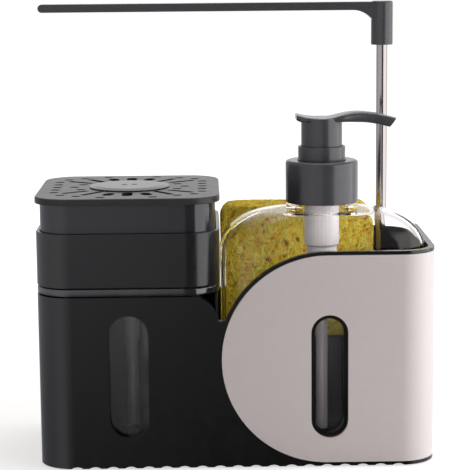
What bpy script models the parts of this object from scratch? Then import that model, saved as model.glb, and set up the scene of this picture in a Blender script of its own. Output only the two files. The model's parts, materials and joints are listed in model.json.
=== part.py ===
"""Sink caddy with a press-plate soap tank, a pump bottle, a sponge slot and a swinging towel arm.

Metres, +Z up, the front faces -Y. The whole box stands centred on the origin, on z = 0.
"""

import math

import bmesh
import bpy
from mathutils import Matrix, Vector

# Clearances and cutting overrun
FIT = 0.0003
SLIDE_FIT = 0.0004
OVERRUN = 0.004
WELD = 0.000003

# How far along a rounded edge its middle point lies, seen from either side
EDGE_SHARE = 0.33

# Facets of curved surfaces
QUARTER_STEPS = 6
SMALL_QUARTER_STEPS = 3
HOLE_QUARTER_STEPS = 2
VISIBLE_TURN_STEPS = 28
HIDDEN_TURN_STEPS = 14
BALL_STEPS = 10
BALL_RINGS = 7

# Caddy
CADDY_WIDTH = 0.2254
CADDY_DEPTH = 0.104
CADDY_CORNER_R = 0.020
BACK_RIGHT_CORNER_R = 0.008
LOW_RIM_Z = 0.0988
RIM_ARC_R = 0.0155
VALLEY_DROP = 0.0140
VALLEY_WIDTH = 0.0037
WALL = 0.0022
DIVIDER_THICKNESS = 0.0016
THICK_WALL = 0.0036
BAY_WALL = 0.0032
FLOOR_TOP_Z = 0.0080
FLOOR_THICKNESS = 0.0024
CROSS_WALL = 0.0020
CROSS_WALL_TOP_Z = 0.0615
INNER_CORNER_R = 0.0025
BASE_EDGE_Z = 0.0005

# Scalloped lower edge
SCALLOP_PITCH = 0.0101
SCALLOP_WIDTH = 0.0066
SCALLOP_RISE = 0.0010
SCALLOP_STEPS = 4

# Cover panel, a D whose round end faces the tank
PANEL_R = 0.0594
PANEL_FOOT_Z = 0.0026
PANEL_THICKNESS = 0.0018
PANEL_END_GAP = 0.0001
PANEL_WRAP = 0.070
EDGING = 0.0021

# View windows
TANK_WINDOW_WIDTH = 0.0221
TANK_WINDOW_BELOW_RIM = 0.0106
TANK_WINDOW_FOOT_Z = 0.0178
PANEL_WINDOW_WIDTH = 0.0208
PANEL_WINDOW_HEIGHT = 0.0707
PANEL_WINDOW_FOOT_Z = 0.0168
PANEL_WINDOW_OFFSET = 0.0012
WINDOW_BORDER = 0.00225
WINDOW_LIP_WALL = 0.0016
WINDOW_LIP_DEPTH = 0.0040

# Feet
FOOT_R = 0.007
FOOT_INSET = 0.024

# Sponge slot and its rack
RACK_TOP_Z = 0.028
RACK_THICKNESS = 0.0024
RACK_SLOT_WIDTH = 0.004
RACK_SLOT_END = 0.0035
RACK_SLOTS = 6
DRAIN_WIDTH = 0.004
DRAIN_END = 0.007
DRAINS = 4
SPONGE_THICKNESS = 0.030
SPONGE_HEIGHT = 0.1117
SPONGE_PLAY = 0.0020
SPONGE_END_PLAY = 0.0007
SPONGE_CORNER_R = 0.009

# Towel rod and arm
ROD_R = 0.00325
ROD_FROM_RIGHT = 0.0225
SOCKET_R = 0.0062
SOCKET_TOP_Z = 0.068
SOCKET_SINK = 0.0005
ROD_TAP_R = 0.0021
ROD_TAP_DEPTH = 0.012
SCREW_R = 0.0017
SCREW_HEAD_R = 0.0036
SCREW_HEAD_HEIGHT = 0.0022
SCREW_LENGTH = 0.012
ARM_LENGTH = 0.2056
ARM_HEIGHT = 0.0048
ARM_DEPTH = 0.0110
ARM_BOTTOM_Z = 0.2540
BOSS_R = 0.0065
BOSS_DROP = 0.0208
BOSS_CROWN = 0.0005
BOSS_EDGE = 0.0012
BOSS_ROOF = 0.0021
BUSH_WALL = 0.0013
BUSH_LENGTH = 0.016
GUSSET_RUN = 0.0115
GUSSET_DROP = 0.0053

# Soap tank
TANK_CORNER_R = 0.0172
TANK_WALL = 0.0020
TANK_FLOOR = 0.0024
TANK_EDGE_R = 0.003
FLANGE_HEIGHT = 0.0046
SEAT_WIDTH = 0.0020
SEAT_DEPTH = 0.0015

# Collar that closes the tank
COLLAR_SETBACK = 0.0002
COLLAR_WALL = 0.00205
COLLAR_CORNER_R = 0.0196
COLLAR_HEIGHT = 0.0306
COLLAR_EDGE_R = 0.0006
DECK_THICKNESS = 0.0024
PLUG_DEPTH = 0.0026
PLUG_WALL = 0.0017

# Press plate
PLATE_LIP = 0.0002
PLATE_CORNER_R = 0.0185
PLATE_THICKNESS = 0.0022
PLATE_RIM_DROP = 0.0038
PLATE_RIM_WALL = 0.0017
PLATE_EDGE_R = 0.0008
SKIRT_WALL = 0.0018
SKIRT_OVERLAP = 0.0086
SKIRT_WEB = 0.0095
SKIRT_WEB_THICKNESS = 0.0018
PRESS_STROKE = 0.012
PRESS_CLEARANCE = 0.0040
HOLE_WIDTH = 0.0029
DASH_LENGTH = 0.0050
WIDE_HOLE_WIDTH = 0.0055
DISC_R = 0.0232
DISC_HEIGHT = 0.0011
SPIGOT_R = 0.0048
SPIGOT_LENGTH = 0.0075
OUTLET_WIDTH = 0.0012
OUTLET_LENGTH = 0.0036
OUTLET_WEB = 0.0022

# Pump under the press plate
PRESS_STEM_R = 0.0032
PRESS_STEM_BORE_R = 0.0018
PRESS_CYLINDER_R = 0.0080
PRESS_CYLINDER_BORE_R = 0.0062
PRESS_CYLINDER_RISE = 0.0156
PRESS_CYLINDER_FLANGE_R = 0.0130
PRESS_CYLINDER_FLANGE = 0.0018
PRESS_BORE_DEPTH = 0.0330
PRESS_VALVE_R = 0.0048
PRESS_VALVE_DROP = 0.0110
PRESS_SPIGOT_R = 0.0043
PRESS_SPIGOT_LENGTH = 0.0140
PRESS_PISTON_LENGTH = 0.007
PRESS_SPRING_SOLID = 0.0054
PRESS_CAP_WALL = 0.0020
PRESS_CAP_ROOF = 0.0026
PRESS_CAP_GRIP = 0.010

# Lotion bottle
BOTTLE_PLAY = 0.0006
BOTTLE_WALL = 0.0016
BOTTLE_FLOOR = 0.0024
BOTTLE_CORNER_R = 0.021
BOTTLE_EDGE_R = 0.004
SHOULDER_FOOT_Z = 0.1205
SHOULDER_RISE = 0.0223
SHOULDER_SHELF_X = 0.00725
SHOULDER_SHELF_Y = 0.0006
SHOULDER_STEPS = 7
NECK_BEAD_REACH = 0.0036
NECK_BEAD_HEIGHT = 0.0036
NECK_R = 0.0168
NECK_WALL = 0.0022
NECK_HEIGHT = 0.0111

# Lotion pump
THREAD_SPACE = 0.0021
CLOSURE_WALL = 0.0018
CLOSURE_GAP = 0.0005
CLOSURE_HEIGHT = 0.0240
CLOSURE_EDGE_R = 0.0018
CHAPLET_BORE_R = 0.0121
CHAPLET_WALL = 0.0014
CHAPLET_FLANGE = 0.0022
CHAPLET_FLOOR = 0.0014
CHAPLET_RISE = 0.0080
CHAPLET_FLARE = 0.0004
GASKET_HEIGHT = 0.0010
HOUSING_FLANGE = 0.0014
HOUSING_R = 0.0100
HOUSING_LOWER_R = 0.0087
HOUSING_BORE_R = 0.0070
HOUSING_STEP_DROP = 0.0363
HOUSING_BORE_DROP = 0.0162
VALVE_R = 0.0056
VALVE_DROP = 0.0120
SPIGOT_TUBE_R = 0.0042
SPIGOT_TUBE_LENGTH = 0.0100
PUMP_STROKE = 0.012
PUMP_CLEARANCE = 0.0015
PUMP_STEM_R = 0.0040
PUMP_STEM_BORE_R = 0.0024
PUMP_PISTON_LENGTH = 0.008
PUMP_SPRING_SOLID = 0.0100
HEAD_WALL = 0.0016
HEAD_OVERLAP = 0.0027
HEAD_ROOF_DROP = 0.0079
HEAD_JOIN_DROP = 0.0044
HUB_R = 0.0062
HUB_LENGTH = 0.0105
HEAD_SOCKET_DEPTH = 0.0090
SPOUT_REACH = 0.0424
SPOUT_TAIL = 0.0147
SPOUT_HALF_WIDTH = 0.0098
SPOUT_THICKNESS = 0.0060
SPOUT_BORE_R = 0.0013

# Valves, tubes and springs that both pumps share
BALL_R = 0.0022
VALVE_BORE_R = 0.0027
VALVE_HOLE_R = 0.0014
VALVE_SEAT = 0.0022
TUBE_R = 0.0033
TUBE_BORE_R = 0.0023
TUBE_SEAT = 0.0003
TUBE_FLOOR_GAP = 0.0022
SPRING_WIRE_R = 0.0004
SPRING_TURNS = 5
SPRING_POINTS_A_TURN = 8
STEM_SOCKET_FLOOR = 0.0022

# Holes of the press plate in one quarter, as shares of half its size. The other quarters mirror them.
# Spoke slots: angle from +X over 90 degrees, inner end, outer end and whether it is a wide one
SPOKE_SHARES = (
    (0.4, 0.54, 0.885, False),
    (0.6, 0.48, 0.835, False),
    (0.8, 0.56, 0.76, True),
    (1.0, 0.49, 0.77, True),
)
# Short slots along X: where their middles are
DASH_SHARES = (
    (0.81, 0.0),
    (0.81, 0.22),
    (0.81, 0.44),
    (0.615, 0.0),
    (0.53, 0.21),
    (0.725, 0.655),
    (0.545, 0.75),
    (0.28, 0.865),
)

# Spout sections from the thumb end to the tip: place along its length, top below the crest and thickness
# as shares of the spout's own thickness, then its half width as a share of the widest
SPOUT_SECTION_SHARES = (
    (0.00, 0.22, 0.50, 0.80),
    (0.03, 0.28, 0.58, 0.92),
    (0.09, 0.42, 0.50, 1.00),
    (0.17, 0.52, 0.42, 1.00),
    (0.26, 0.57, 0.38, 1.00),
    (0.36, 0.47, 0.46, 1.00),
    (0.45, 0.24, 0.70, 0.92),
    (0.54, 0.06, 0.90, 0.78),
    (0.63, 0.00, 1.00, 0.66),
    (0.72, 0.06, 0.98, 0.56),
    (0.81, 0.20, 0.94, 0.50),
    (0.90, 0.40, 0.90, 0.47),
    (1.00, 0.66, 0.84, 0.45),
)
SPOUT_TIP_SLANT_SHARE = 0.065
SPOUT_CORNER_SHARE = 0.45
SPOUT_BORE_SECTIONS = 7

# Derived places of the caddy
ARM_TIP_PAST_CADDY = max(ARM_LENGTH + ROD_FROM_RIGHT - CADDY_WIDTH, 0)
CADDY_X = ARM_TIP_PAST_CADDY / 2
LEFT_X = CADDY_X - CADDY_WIDTH / 2
RIGHT_X = CADDY_X + CADDY_WIDTH / 2
FRONT_Y = -CADDY_DEPTH / 2
BACK_Y = CADDY_DEPTH / 2
PANEL_Z = PANEL_FOOT_Z + PANEL_R
HIGH_RIM_Z = PANEL_Z + PANEL_R + EDGING
VALLEY_Z = LOW_RIM_Z - VALLEY_DROP
TANK_WINDOW_HEIGHT = LOW_RIM_Z - TANK_WINDOW_BELOW_RIM - TANK_WINDOW_FOOT_Z
FLOOR_UNDER_Z = FLOOR_TOP_Z - FLOOR_THICKNESS
STAND_Z = FLOOR_TOP_Z + FIT

# Derived places of the tank bay and what stands in it
COLLAR_SIZE = CADDY_DEPTH - 2 * COLLAR_SETBACK
TANK_X = LEFT_X + COLLAR_SIZE / 2
TANK_Y = 0
TANK_BAY_HALF = CADDY_DEPTH / 2 - BAY_WALL
TANK_SIZE = 2 * TANK_BAY_HALF - 2 * FIT
DIVIDER_LEFT_X = TANK_X + TANK_BAY_HALF
DIVIDER_RIGHT_X = DIVIDER_LEFT_X + DIVIDER_THICKNESS
FLANGE_FOOT_Z = LOW_RIM_Z + FIT
FLANGE_TOP_Z = FLANGE_FOOT_Z + FLANGE_HEIGHT
COLLAR_FOOT_Z = FLANGE_TOP_Z + FIT
COLLAR_TOP_Z = COLLAR_FOOT_Z + COLLAR_HEIGHT
DECK_TOP_Z = COLLAR_FOOT_Z + DECK_THICKNESS
SKIRT_SIZE = COLLAR_SIZE - 2 * COLLAR_WALL - 2 * SLIDE_FIT
PLATE_SIZE = COLLAR_SIZE + 2 * PLATE_LIP
PLATE_RIM_FOOT_Z = COLLAR_TOP_Z + PRESS_STROKE + PRESS_CLEARANCE
PLATE_TOP_Z = PLATE_RIM_FOOT_Z + PLATE_RIM_DROP
PLATE_UNDER_Z = PLATE_TOP_Z - PLATE_THICKNESS
SKIRT_FOOT_Z = COLLAR_TOP_Z - SKIRT_OVERLAP
SKIRT_TOP_Z = PLATE_UNDER_Z - FIT

# Derived places of the pump under the press plate
PRESS_CYLINDER_TOP_Z = DECK_TOP_Z + PRESS_CYLINDER_RISE
PRESS_BORE_FOOT_Z = PRESS_CYLINDER_TOP_Z - PRESS_BORE_DEPTH
PRESS_VALVE_FOOT_Z = PRESS_BORE_FOOT_Z - PRESS_VALVE_DROP
PRESS_SPIGOT_FOOT_Z = PRESS_VALVE_FOOT_Z - PRESS_SPIGOT_LENGTH
PRESS_SPRING_GAP = PRESS_STROKE + PRESS_SPRING_SOLID

# Derived places of the bottle bay, the panel over it and the sponge slot
BAY_RIGHT_X = RIGHT_X - THICK_WALL
BOTTLE_LEFT_X = TANK_X + COLLAR_SIZE / 2 + FIT
BOTTLE_WIDTH = BAY_RIGHT_X - BOTTLE_LEFT_X - BOTTLE_PLAY
BOTTLE_X = BOTTLE_LEFT_X + BOTTLE_WIDTH / 2
PANEL_X = BOTTLE_LEFT_X + PANEL_END_GAP + PANEL_R
PANEL_WINDOW_X = PANEL_X + PANEL_WINDOW_OFFSET
SLOT_DEPTH = SPONGE_THICKNESS + 2 * SPONGE_PLAY
SLOT_BACK_Y = BACK_Y - WALL
SLOT_FRONT_Y = SLOT_BACK_Y - SLOT_DEPTH
SLOT_Y = (SLOT_FRONT_Y + SLOT_BACK_Y) / 2
CROSS_WALL_Y = SLOT_FRONT_Y - CROSS_WALL
WINDOW_LIP_Y = FRONT_Y + THICK_WALL + WINDOW_LIP_DEPTH
BOTTLE_DEPTH = CROSS_WALL_Y - WINDOW_LIP_Y - 2 * FIT
BOTTLE_Y = WINDOW_LIP_Y + FIT + BOTTLE_DEPTH / 2
ROD_X = RIGHT_X - ROD_FROM_RIGHT
ROD_Y = SLOT_BACK_Y - SOCKET_R + SOCKET_SINK
RACK_RIGHT_X = ROD_X - SOCKET_R - FIT
RACK_LEFT_X = DIVIDER_RIGHT_X + FIT
RACK_DEPTH = SLOT_DEPTH - 2 * INNER_CORNER_R
RACK_SLOT_LENGTH = RACK_DEPTH - 2 * RACK_SLOT_END
DRAIN_LENGTH = SLOT_DEPTH - 2 * DRAIN_END
SPONGE_RIGHT_X = RACK_RIGHT_X - FIT
SPONGE_LEFT_X = TANK_X + COLLAR_SIZE / 2 + SPONGE_END_PLAY
SPONGE_TOP_Z = RACK_TOP_Z + FIT + SPONGE_HEIGHT
BOSS_FOOT_Z = ARM_BOTTOM_Z - BOSS_DROP

# Derived places of the bottle and its pump
NECK_BEAD_R = NECK_R + NECK_BEAD_REACH
NECK_BORE_R = NECK_R - NECK_WALL
BOTTLE_SIDE_R = min(BOTTLE_CORNER_R, BOTTLE_DEPTH / 2 - FIT)
SHOULDER_RUN_X = BOTTLE_WIDTH / 2 - NECK_BEAD_R - SHOULDER_SHELF_X
SHOULDER_RUN_Y = BOTTLE_DEPTH / 2 - NECK_BEAD_R - SHOULDER_SHELF_Y
SHOULDER_TOP_Z = SHOULDER_FOOT_Z + SHOULDER_RISE
NECK_BEAD_TOP_Z = SHOULDER_TOP_Z + NECK_BEAD_HEIGHT
NECK_TOP_Z = NECK_BEAD_TOP_Z + NECK_HEIGHT
CLOSURE_R = NECK_R + THREAD_SPACE + CLOSURE_WALL
CLOSURE_FOOT_Z = NECK_BEAD_TOP_Z + CLOSURE_GAP
CLOSURE_TOP_Z = CLOSURE_FOOT_Z + CLOSURE_HEIGHT
CHAPLET_R = CHAPLET_BORE_R + CHAPLET_WALL
CHAPLET_FLANGE_R = NECK_R - FIT
CHAPLET_TOP_Z = CLOSURE_TOP_Z + CHAPLET_RISE
HOUSING_STEP_Z = NECK_TOP_Z - HOUSING_STEP_DROP
HOUSING_BORE_FOOT_Z = HOUSING_STEP_Z - HOUSING_BORE_DROP
VALVE_FOOT_Z = HOUSING_BORE_FOOT_Z - VALVE_DROP
SPIGOT_TUBE_FOOT_Z = VALVE_FOOT_Z - SPIGOT_TUBE_LENGTH
PUMP_SPRING_GAP = PUMP_STROKE + PUMP_SPRING_SOLID
HEAD_R = CHAPLET_BORE_R - SLIDE_FIT
SPOUT_TOP_Z = CHAPLET_TOP_Z + PUMP_STROKE + PUMP_CLEARANCE + SPOUT_THICKNESS
HEAD_SKIRT_FOOT_Z = CHAPLET_TOP_Z - HEAD_OVERLAP
HEAD_ROOF_Z = SPOUT_TOP_Z - HEAD_ROOF_DROP
HEAD_JOIN_Z = SPOUT_TOP_Z - HEAD_JOIN_DROP
HUB_FOOT_Z = HEAD_ROOF_Z - HUB_LENGTH
HEAD_SOCKET_TOP_Z = HUB_FOOT_Z + HEAD_SOCKET_DEPTH


def arc(centre, radius, start, end, steps=QUARTER_STEPS):
    """Points of an arc from angle start to end, in degrees."""
    points = []
    for step in range(steps + 1):
        turn = math.radians(start + (end - start) * step / steps)
        points.append((centre[0] + radius * math.cos(turn), centre[1] + radius * math.sin(turn)))
    return points


def rounded_rect(low, high, radii, steps=QUARTER_STEPS):
    """Anticlockwise outline between two corners. The radii start at its right-top corner."""
    if not isinstance(radii, tuple):
        radii = (radii,) * 4
    outline = []
    for quarter, radius in enumerate(radii):
        x = high[0] - radius if quarter in (0, 3) else low[0] + radius
        y = high[1] - radius if quarter in (0, 1) else low[1] + radius
        outline += arc((x, y), radius, 90 * quarter, 90 * quarter + 90, steps)
    return outline


def stadium(start, end, width, steps=SMALL_QUARTER_STEPS):
    """Outline of a slot with round ends, centred on the line from start to end of its straight part."""
    heading = math.degrees(math.atan2(end[1] - start[1], end[0] - start[0]))
    outline = arc(end, width / 2, heading - 90, heading + 90, 2 * steps)
    return outline + arc(start, width / 2, heading + 90, heading + 270, 2 * steps)


def circle(centre, radius, steps=HIDDEN_TURN_STEPS):
    return arc(centre, radius, 0, 360, steps)[:-1]


def square(centre, half, radius):
    """Outline of a rounded square."""
    low = (centre[0] - half, centre[1] - half)
    high = (centre[0] + half, centre[1] + half)
    return rounded_rect(low, high, radius)


def clear_scene():
    for old in list(bpy.data.objects):
        bpy.data.objects.remove(old, do_unlink=True)


def new_collection(name):
    collection = bpy.data.collections.new(name)
    bpy.context.scene.collection.children.link(collection)
    return collection


def linear(channel):
    return channel / 12.92 if channel <= 0.04045 else ((channel + 0.055) / 1.055) ** 2.4


def finish(name, colour, roughness, metallic=0.0, transmission=0.0):
    """Principled material from an sRGB hex colour."""
    material = bpy.data.materials.new(name)
    material.use_nodes = True
    shader = material.node_tree.nodes["Principled BSDF"]
    rgb = [linear(int(colour[i : i + 2], 16) / 255) for i in (1, 3, 5)]
    shader.inputs["Base Color"].default_value = (*rgb, 1)
    shader.inputs["Roughness"].default_value = roughness
    shader.inputs["Metallic"].default_value = metallic
    shader.inputs["Transmission Weight"].default_value = transmission
    material.diffuse_color = (*rgb, 1)
    return material


def weld(mesh):
    """Joins points that meet and turns every face outwards."""
    bm = bmesh.new()
    bm.from_mesh(mesh)
    bmesh.ops.remove_doubles(bm, verts=bm.verts, dist=WELD)
    bmesh.ops.recalc_face_normals(bm, faces=bm.faces)
    bm.to_mesh(mesh)
    bm.free()


def solid_from_curve(curve, place):
    """Makes the mesh object of a curve and removes the curve."""
    drawn = bpy.data.objects.new(curve.name + "_curve", curve)
    bpy.context.scene.collection.objects.link(drawn)
    drawn.matrix_world = place
    bpy.context.view_layer.update()
    graph = bpy.context.evaluated_depsgraph_get()
    mesh = bpy.data.meshes.new_from_object(drawn.evaluated_get(graph))
    mesh.name = curve.name
    weld(mesh)
    solid = bpy.data.objects.new(curve.name, mesh)
    solid.matrix_world = drawn.matrix_world
    bpy.data.objects.remove(drawn, do_unlink=True)
    return solid


def prism(name, outlines, low, high, axis="Z"):
    """Extrudes an outline, and any holes listed after it, from low to high along an axis.

    The outline is in (x, y) for Z, (x, z) for Y and (y, z) for X.
    """
    curve = bpy.data.curves.new(name, "CURVE")
    curve.dimensions = "2D"
    curve.fill_mode = "BOTH"
    curve.extrude = (high - low) / 2
    for outline in outlines:
        spline = curve.splines.new("POLY")
        spline.points.add(len(outline) - 1)
        for point, (across, up) in zip(spline.points, outline):
            point.co = (across, up, 0, 1)
        spline.use_cyclic_u = True
    middle = (low + high) / 2
    place = {
        "Z": Matrix.Translation((0, 0, middle)),
        "Y": Matrix.Translation((0, middle, 0)) @ Matrix.Rotation(math.pi / 2, 4, "X"),
        "X": Matrix(((0, 0, 1, middle), (1, 0, 0, 0), (0, 1, 0, 0), (0, 0, 0, 1))),
    }[axis]
    return solid_from_curve(curve, place)


def turned(name, profile, centre, steps=HIDDEN_TURN_STEPS):
    """Turns (radius, z) points about a vertical axis. They run down the outer side and up the inner one."""
    mesh = bpy.data.meshes.new(name)
    points = [(radius, 0, z) for radius, z in profile]
    on_axis = profile[0][0] == 0 and profile[-1][0] == 0
    edges = [(i, i + 1) for i in range(len(points) - 1)]
    if not on_axis:
        edges.append((len(points) - 1, 0))
    mesh.from_pydata(points, edges, [])
    solid = bpy.data.objects.new(name, mesh)
    solid.location = (centre[0], centre[1], 0)
    screw = solid.modifiers.new("turn", "SCREW")
    screw.steps = steps
    screw.render_steps = steps
    screw.use_merge_vertices = True
    screw.merge_threshold = WELD
    screw.use_smooth_shade = False
    return solid


def post_profile(radius, top, foot):
    """Profile of a plain round post."""
    return [(0, top), (radius, top), (radius, foot), (0, foot)]


def ring_profile(outer, inner, low, high):
    """Profile of a plain sleeve."""
    return [(outer, high), (outer, low), (inner, low), (inner, high)]


def rounded_loop(half_x, half_y, radius, z):
    """Points round a rounded rectangle at one height, centred on its own axis."""
    outline = rounded_rect((-half_x, -half_y), (half_x, half_y), radius)
    return [Vector((x, y, z)) for x, y in outline]


def square_loop(half, radius, z):
    return rounded_loop(half, half, radius, z)


def round_loop(radius, z):
    """As many points round a circle as a rounded loop has, so that the two can be lofted."""
    count = 4 * (QUARTER_STEPS + 1)
    turns = [2 * math.pi * (i + 0.5) / count for i in range(count)]
    return [Vector((radius * math.cos(t), radius * math.sin(t), z)) for t in turns]


def lofted(name, loops, place, ring=False):
    """Skins a row of loops that have the same count of points. A ring closes on its first loop."""
    mesh = bpy.data.meshes.new(name)
    bm = bmesh.new()
    rows = [[bm.verts.new(point) for point in loop] for loop in loops]
    count = len(rows[0])
    pairs = list(zip(rows, rows[1:] + rows[:1])) if ring else list(zip(rows, rows[1:]))
    for first, second in pairs:
        for i in range(count):
            j = (i + 1) % count
            bm.faces.new((first[i], first[j], second[j], second[i]))
    if not ring:
        bm.faces.new(rows[0])
        bm.faces.new(rows[-1])
    bmesh.ops.recalc_face_normals(bm, faces=bm.faces)
    bm.to_mesh(mesh)
    bm.free()
    solid = bpy.data.objects.new(name, mesh)
    solid.location = place
    return solid


def spring(name, radius, foot, length, centre):
    """A compression spring as one unbroken wire, standing on foot. It reports its least gap to itself."""
    rise = length - 2 * SPRING_WIRE_R
    count = SPRING_TURNS * SPRING_POINTS_A_TURN
    points = []
    for i in range(count + 1):
        turn = 2 * math.pi * i / SPRING_POINTS_A_TURN
        z = foot + SPRING_WIRE_R + rise * i / count
        points.append(Vector((centre[0] + radius * math.cos(turn), centre[1] + radius * math.sin(turn), z)))
    gaps = [
        (points[i] - points[j]).length - 2 * SPRING_WIRE_R
        for i in range(len(points))
        for j in range(i + SPRING_POINTS_A_TURN // 2, len(points))
    ]
    print(f"{name}: least gap to itself {min(gaps):.5f} m")
    curve = bpy.data.curves.new(name, "CURVE")
    curve.dimensions = "3D"
    curve.bevel_depth = SPRING_WIRE_R
    curve.bevel_resolution = 1
    curve.use_fill_caps = True
    spline = curve.splines.new("POLY")
    spline.points.add(count)
    for point, place in zip(spline.points, points):
        point.co = (*place, 1)
    return solid_from_curve(curve, Matrix.Identity(4))


class Assembly:
    """Holds the nodes and cutters, and applies the Booleans."""

    def __init__(self, name):
        self.parts = new_collection(name)
        self.cutters = new_collection(name + "_cutters")

    def node(self, solid, material, parent=None):
        self.parts.objects.link(solid)
        solid.data.materials.clear()
        solid.data.materials.append(material)
        if parent:
            solid.parent = parent
            solid.matrix_parent_inverse = parent.matrix_world.inverted()
        return solid

    def cutter(self, solid):
        self.cutters.objects.link(solid)
        solid.hide_render = True
        solid.display_type = "WIRE"
        return solid

    def change(self, target, operation, tool):
        if tool.name not in self.cutters.objects:
            self.cutter(tool)
        modifier = target.modifiers.new(f"{operation.lower()} {tool.name}", "BOOLEAN")
        modifier.operation = operation
        modifier.object = tool
        return target

    def cut(self, target, tool):
        return self.change(target, "DIFFERENCE", tool)

    def join(self, target, tool):
        return self.change(target, "UNION", tool)

    def keep(self, target, tool):
        return self.change(target, "INTERSECT", tool)

    def joint(self, name, place):
        """Empty on a joint's axis, which carries the pieces of one moving body."""
        empty = bpy.data.objects.new(name, None)
        empty.empty_display_size = BOSS_R
        empty.location = place
        self.parts.objects.link(empty)
        bpy.context.view_layer.update()
        return empty


def caddy_plan(inset):
    """Plan outline of the caddy, drawn in by inset."""
    low = (LEFT_X + inset, FRONT_Y + inset)
    high = (RIGHT_X - inset, BACK_Y - inset)
    back_right = max(BACK_RIGHT_CORNER_R - inset, FIT)
    others = CADDY_CORNER_R - inset
    return rounded_rect(low, high, (back_right, others, others, others))


def caddy_front_outline():
    """Front view of the caddy: low rim, arc, valley, then up round the D to the high rim."""
    left = LEFT_X - OVERRUN
    right = RIGHT_X + OVERRUN
    rim_r = PANEL_R + EDGING
    meet = math.degrees(math.asin((VALLEY_Z - PANEL_Z) / rim_r))
    meet_x = PANEL_X - rim_r * math.cos(math.radians(meet))
    arc_z = LOW_RIM_Z - RIM_ARC_R
    leave = math.degrees(math.asin((VALLEY_Z - arc_z) / RIM_ARC_R))
    arc_x = meet_x - VALLEY_WIDTH - RIM_ARC_R * math.cos(math.radians(leave))
    outline = [(left, BASE_EDGE_Z), (right, BASE_EDGE_Z), (right, HIGH_RIM_Z)]
    outline += arc((PANEL_X, PANEL_Z), rim_r, 90, 180 - meet, 2 * QUARTER_STEPS)
    outline += arc((arc_x, arc_z), RIM_ARC_R, leave, 90)
    return outline + [(left, LOW_RIM_Z)]


def panel_outline(grow):
    """Front view of the D, whose straight side runs off past the right edge."""
    radius = PANEL_R + grow
    outline = arc((PANEL_X, PANEL_Z), radius, 90, 270, 4 * QUARTER_STEPS)
    return outline + [(RIGHT_X + OVERRUN, PANEL_Z - radius), (RIGHT_X + OVERRUN, PANEL_Z + radius)]


def upright_stadium(x, foot, width, height, steps=QUARTER_STEPS):
    """Outline of a view window."""
    return stadium((x, foot + width / 2), (x, foot + height - width / 2), width, steps)


def panel_window(border):
    """Outline of the panel's window, drawn in by border."""
    return upright_stadium(
        PANEL_WINDOW_X,
        PANEL_WINDOW_FOOT_Z + border,
        PANEL_WINDOW_WIDTH - 2 * border,
        PANEL_WINDOW_HEIGHT - 2 * border,
    )


def scallops(count, centre):
    """Outlines of the notches along one lower edge, as (across, up)."""
    radius = ((SCALLOP_WIDTH / 2) ** 2 + SCALLOP_RISE**2) / (2 * SCALLOP_RISE)
    half_turn = math.degrees(math.asin(SCALLOP_WIDTH / 2 / radius))
    top = BASE_EDGE_Z + SCALLOP_RISE
    outlines = []
    for index in range(count):
        across = centre + (index - (count - 1) / 2) * SCALLOP_PITCH
        notch = arc((across, top - radius), radius, 90 + half_turn, 90 - half_turn, SCALLOP_STEPS)
        notch += [(notch[-1][0], BASE_EDGE_Z - OVERRUN), (notch[0][0], BASE_EDGE_Z - OVERRUN)]
        outlines.append(notch)
    return outlines


def scallop_count(length):
    return int((length - 2 * CADDY_CORNER_R) / SCALLOP_PITCH) + 1


def make_caddy_body(kit, material):
    over_top = HIGH_RIM_Z + OVERRUN
    body = prism("caddy_body", [caddy_plan(0)], BASE_EDGE_Z, over_top)
    kit.node(body, material)
    front_view = prism(
        "front_view", [caddy_front_outline()], FRONT_Y - OVERRUN, BACK_Y + OVERRUN, "Y"
    )
    kit.keep(body, front_view)
    hollow = prism(
        "under_hollow", [caddy_plan(THICK_WALL)], BASE_EDGE_Z - OVERRUN, FLOOR_UNDER_Z
    )
    kit.cut(body, hollow)
    tank_bay = square((TANK_X, TANK_Y), TANK_BAY_HALF, TANK_CORNER_R + FIT)
    kit.cut(body, prism("tank_bay", [tank_bay], FLOOR_TOP_Z, over_top))
    corners = (INNER_CORNER_R, INNER_CORNER_R, INNER_CORNER_R, CADDY_CORNER_R - THICK_WALL)
    front_inner_y = FRONT_Y + THICK_WALL
    upper = rounded_rect((DIVIDER_RIGHT_X, front_inner_y), (BAY_RIGHT_X, SLOT_BACK_Y), corners)
    kit.cut(body, prism("upper_bay", [upper], CROSS_WALL_TOP_Z, over_top))
    lower = rounded_rect((DIVIDER_RIGHT_X, front_inner_y), (BAY_RIGHT_X, CROSS_WALL_Y), corners)
    kit.cut(body, prism("bottle_bay", [lower], FLOOR_TOP_Z, CROSS_WALL_TOP_Z + OVERRUN))
    slot = rounded_rect((DIVIDER_RIGHT_X, SLOT_FRONT_Y), (BAY_RIGHT_X, SLOT_BACK_Y), INNER_CORNER_R)
    kit.cut(body, prism("sponge_slot", [slot], FLOOR_TOP_Z, CROSS_WALL_TOP_Z + OVERRUN))
    divider = rounded_rect(
        (DIVIDER_LEFT_X, FRONT_Y + WALL / 2), (DIVIDER_RIGHT_X, BACK_Y - WALL / 2), FIT, 1
    )
    kit.join(body, prism("divider", [divider], FLOOR_UNDER_Z + FIT, LOW_RIM_Z))
    return body


def add_window_lip(kit, body):
    """The panel's window has a deeper frame behind it that the bottle leans on."""
    lip = prism(
        "window_lip",
        [panel_window(WINDOW_BORDER - WINDOW_LIP_WALL)],
        FRONT_Y + THICK_WALL - FIT,
        WINDOW_LIP_Y,
        "Y",
    )
    kit.join(body, lip)
    opening = prism(
        "lip_opening", [panel_window(WINDOW_BORDER)], FRONT_Y - OVERRUN, WINDOW_LIP_Y + OVERRUN, "Y"
    )
    kit.cut(body, opening)


def add_tank_window(kit, body):
    window = upright_stadium(TANK_X, TANK_WINDOW_FOOT_Z, TANK_WINDOW_WIDTH, TANK_WINDOW_HEIGHT)
    through = prism("tank_window", [window], FRONT_Y - OVERRUN, FRONT_Y + WALL + OVERRUN, "Y")
    kit.cut(body, through)


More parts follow.
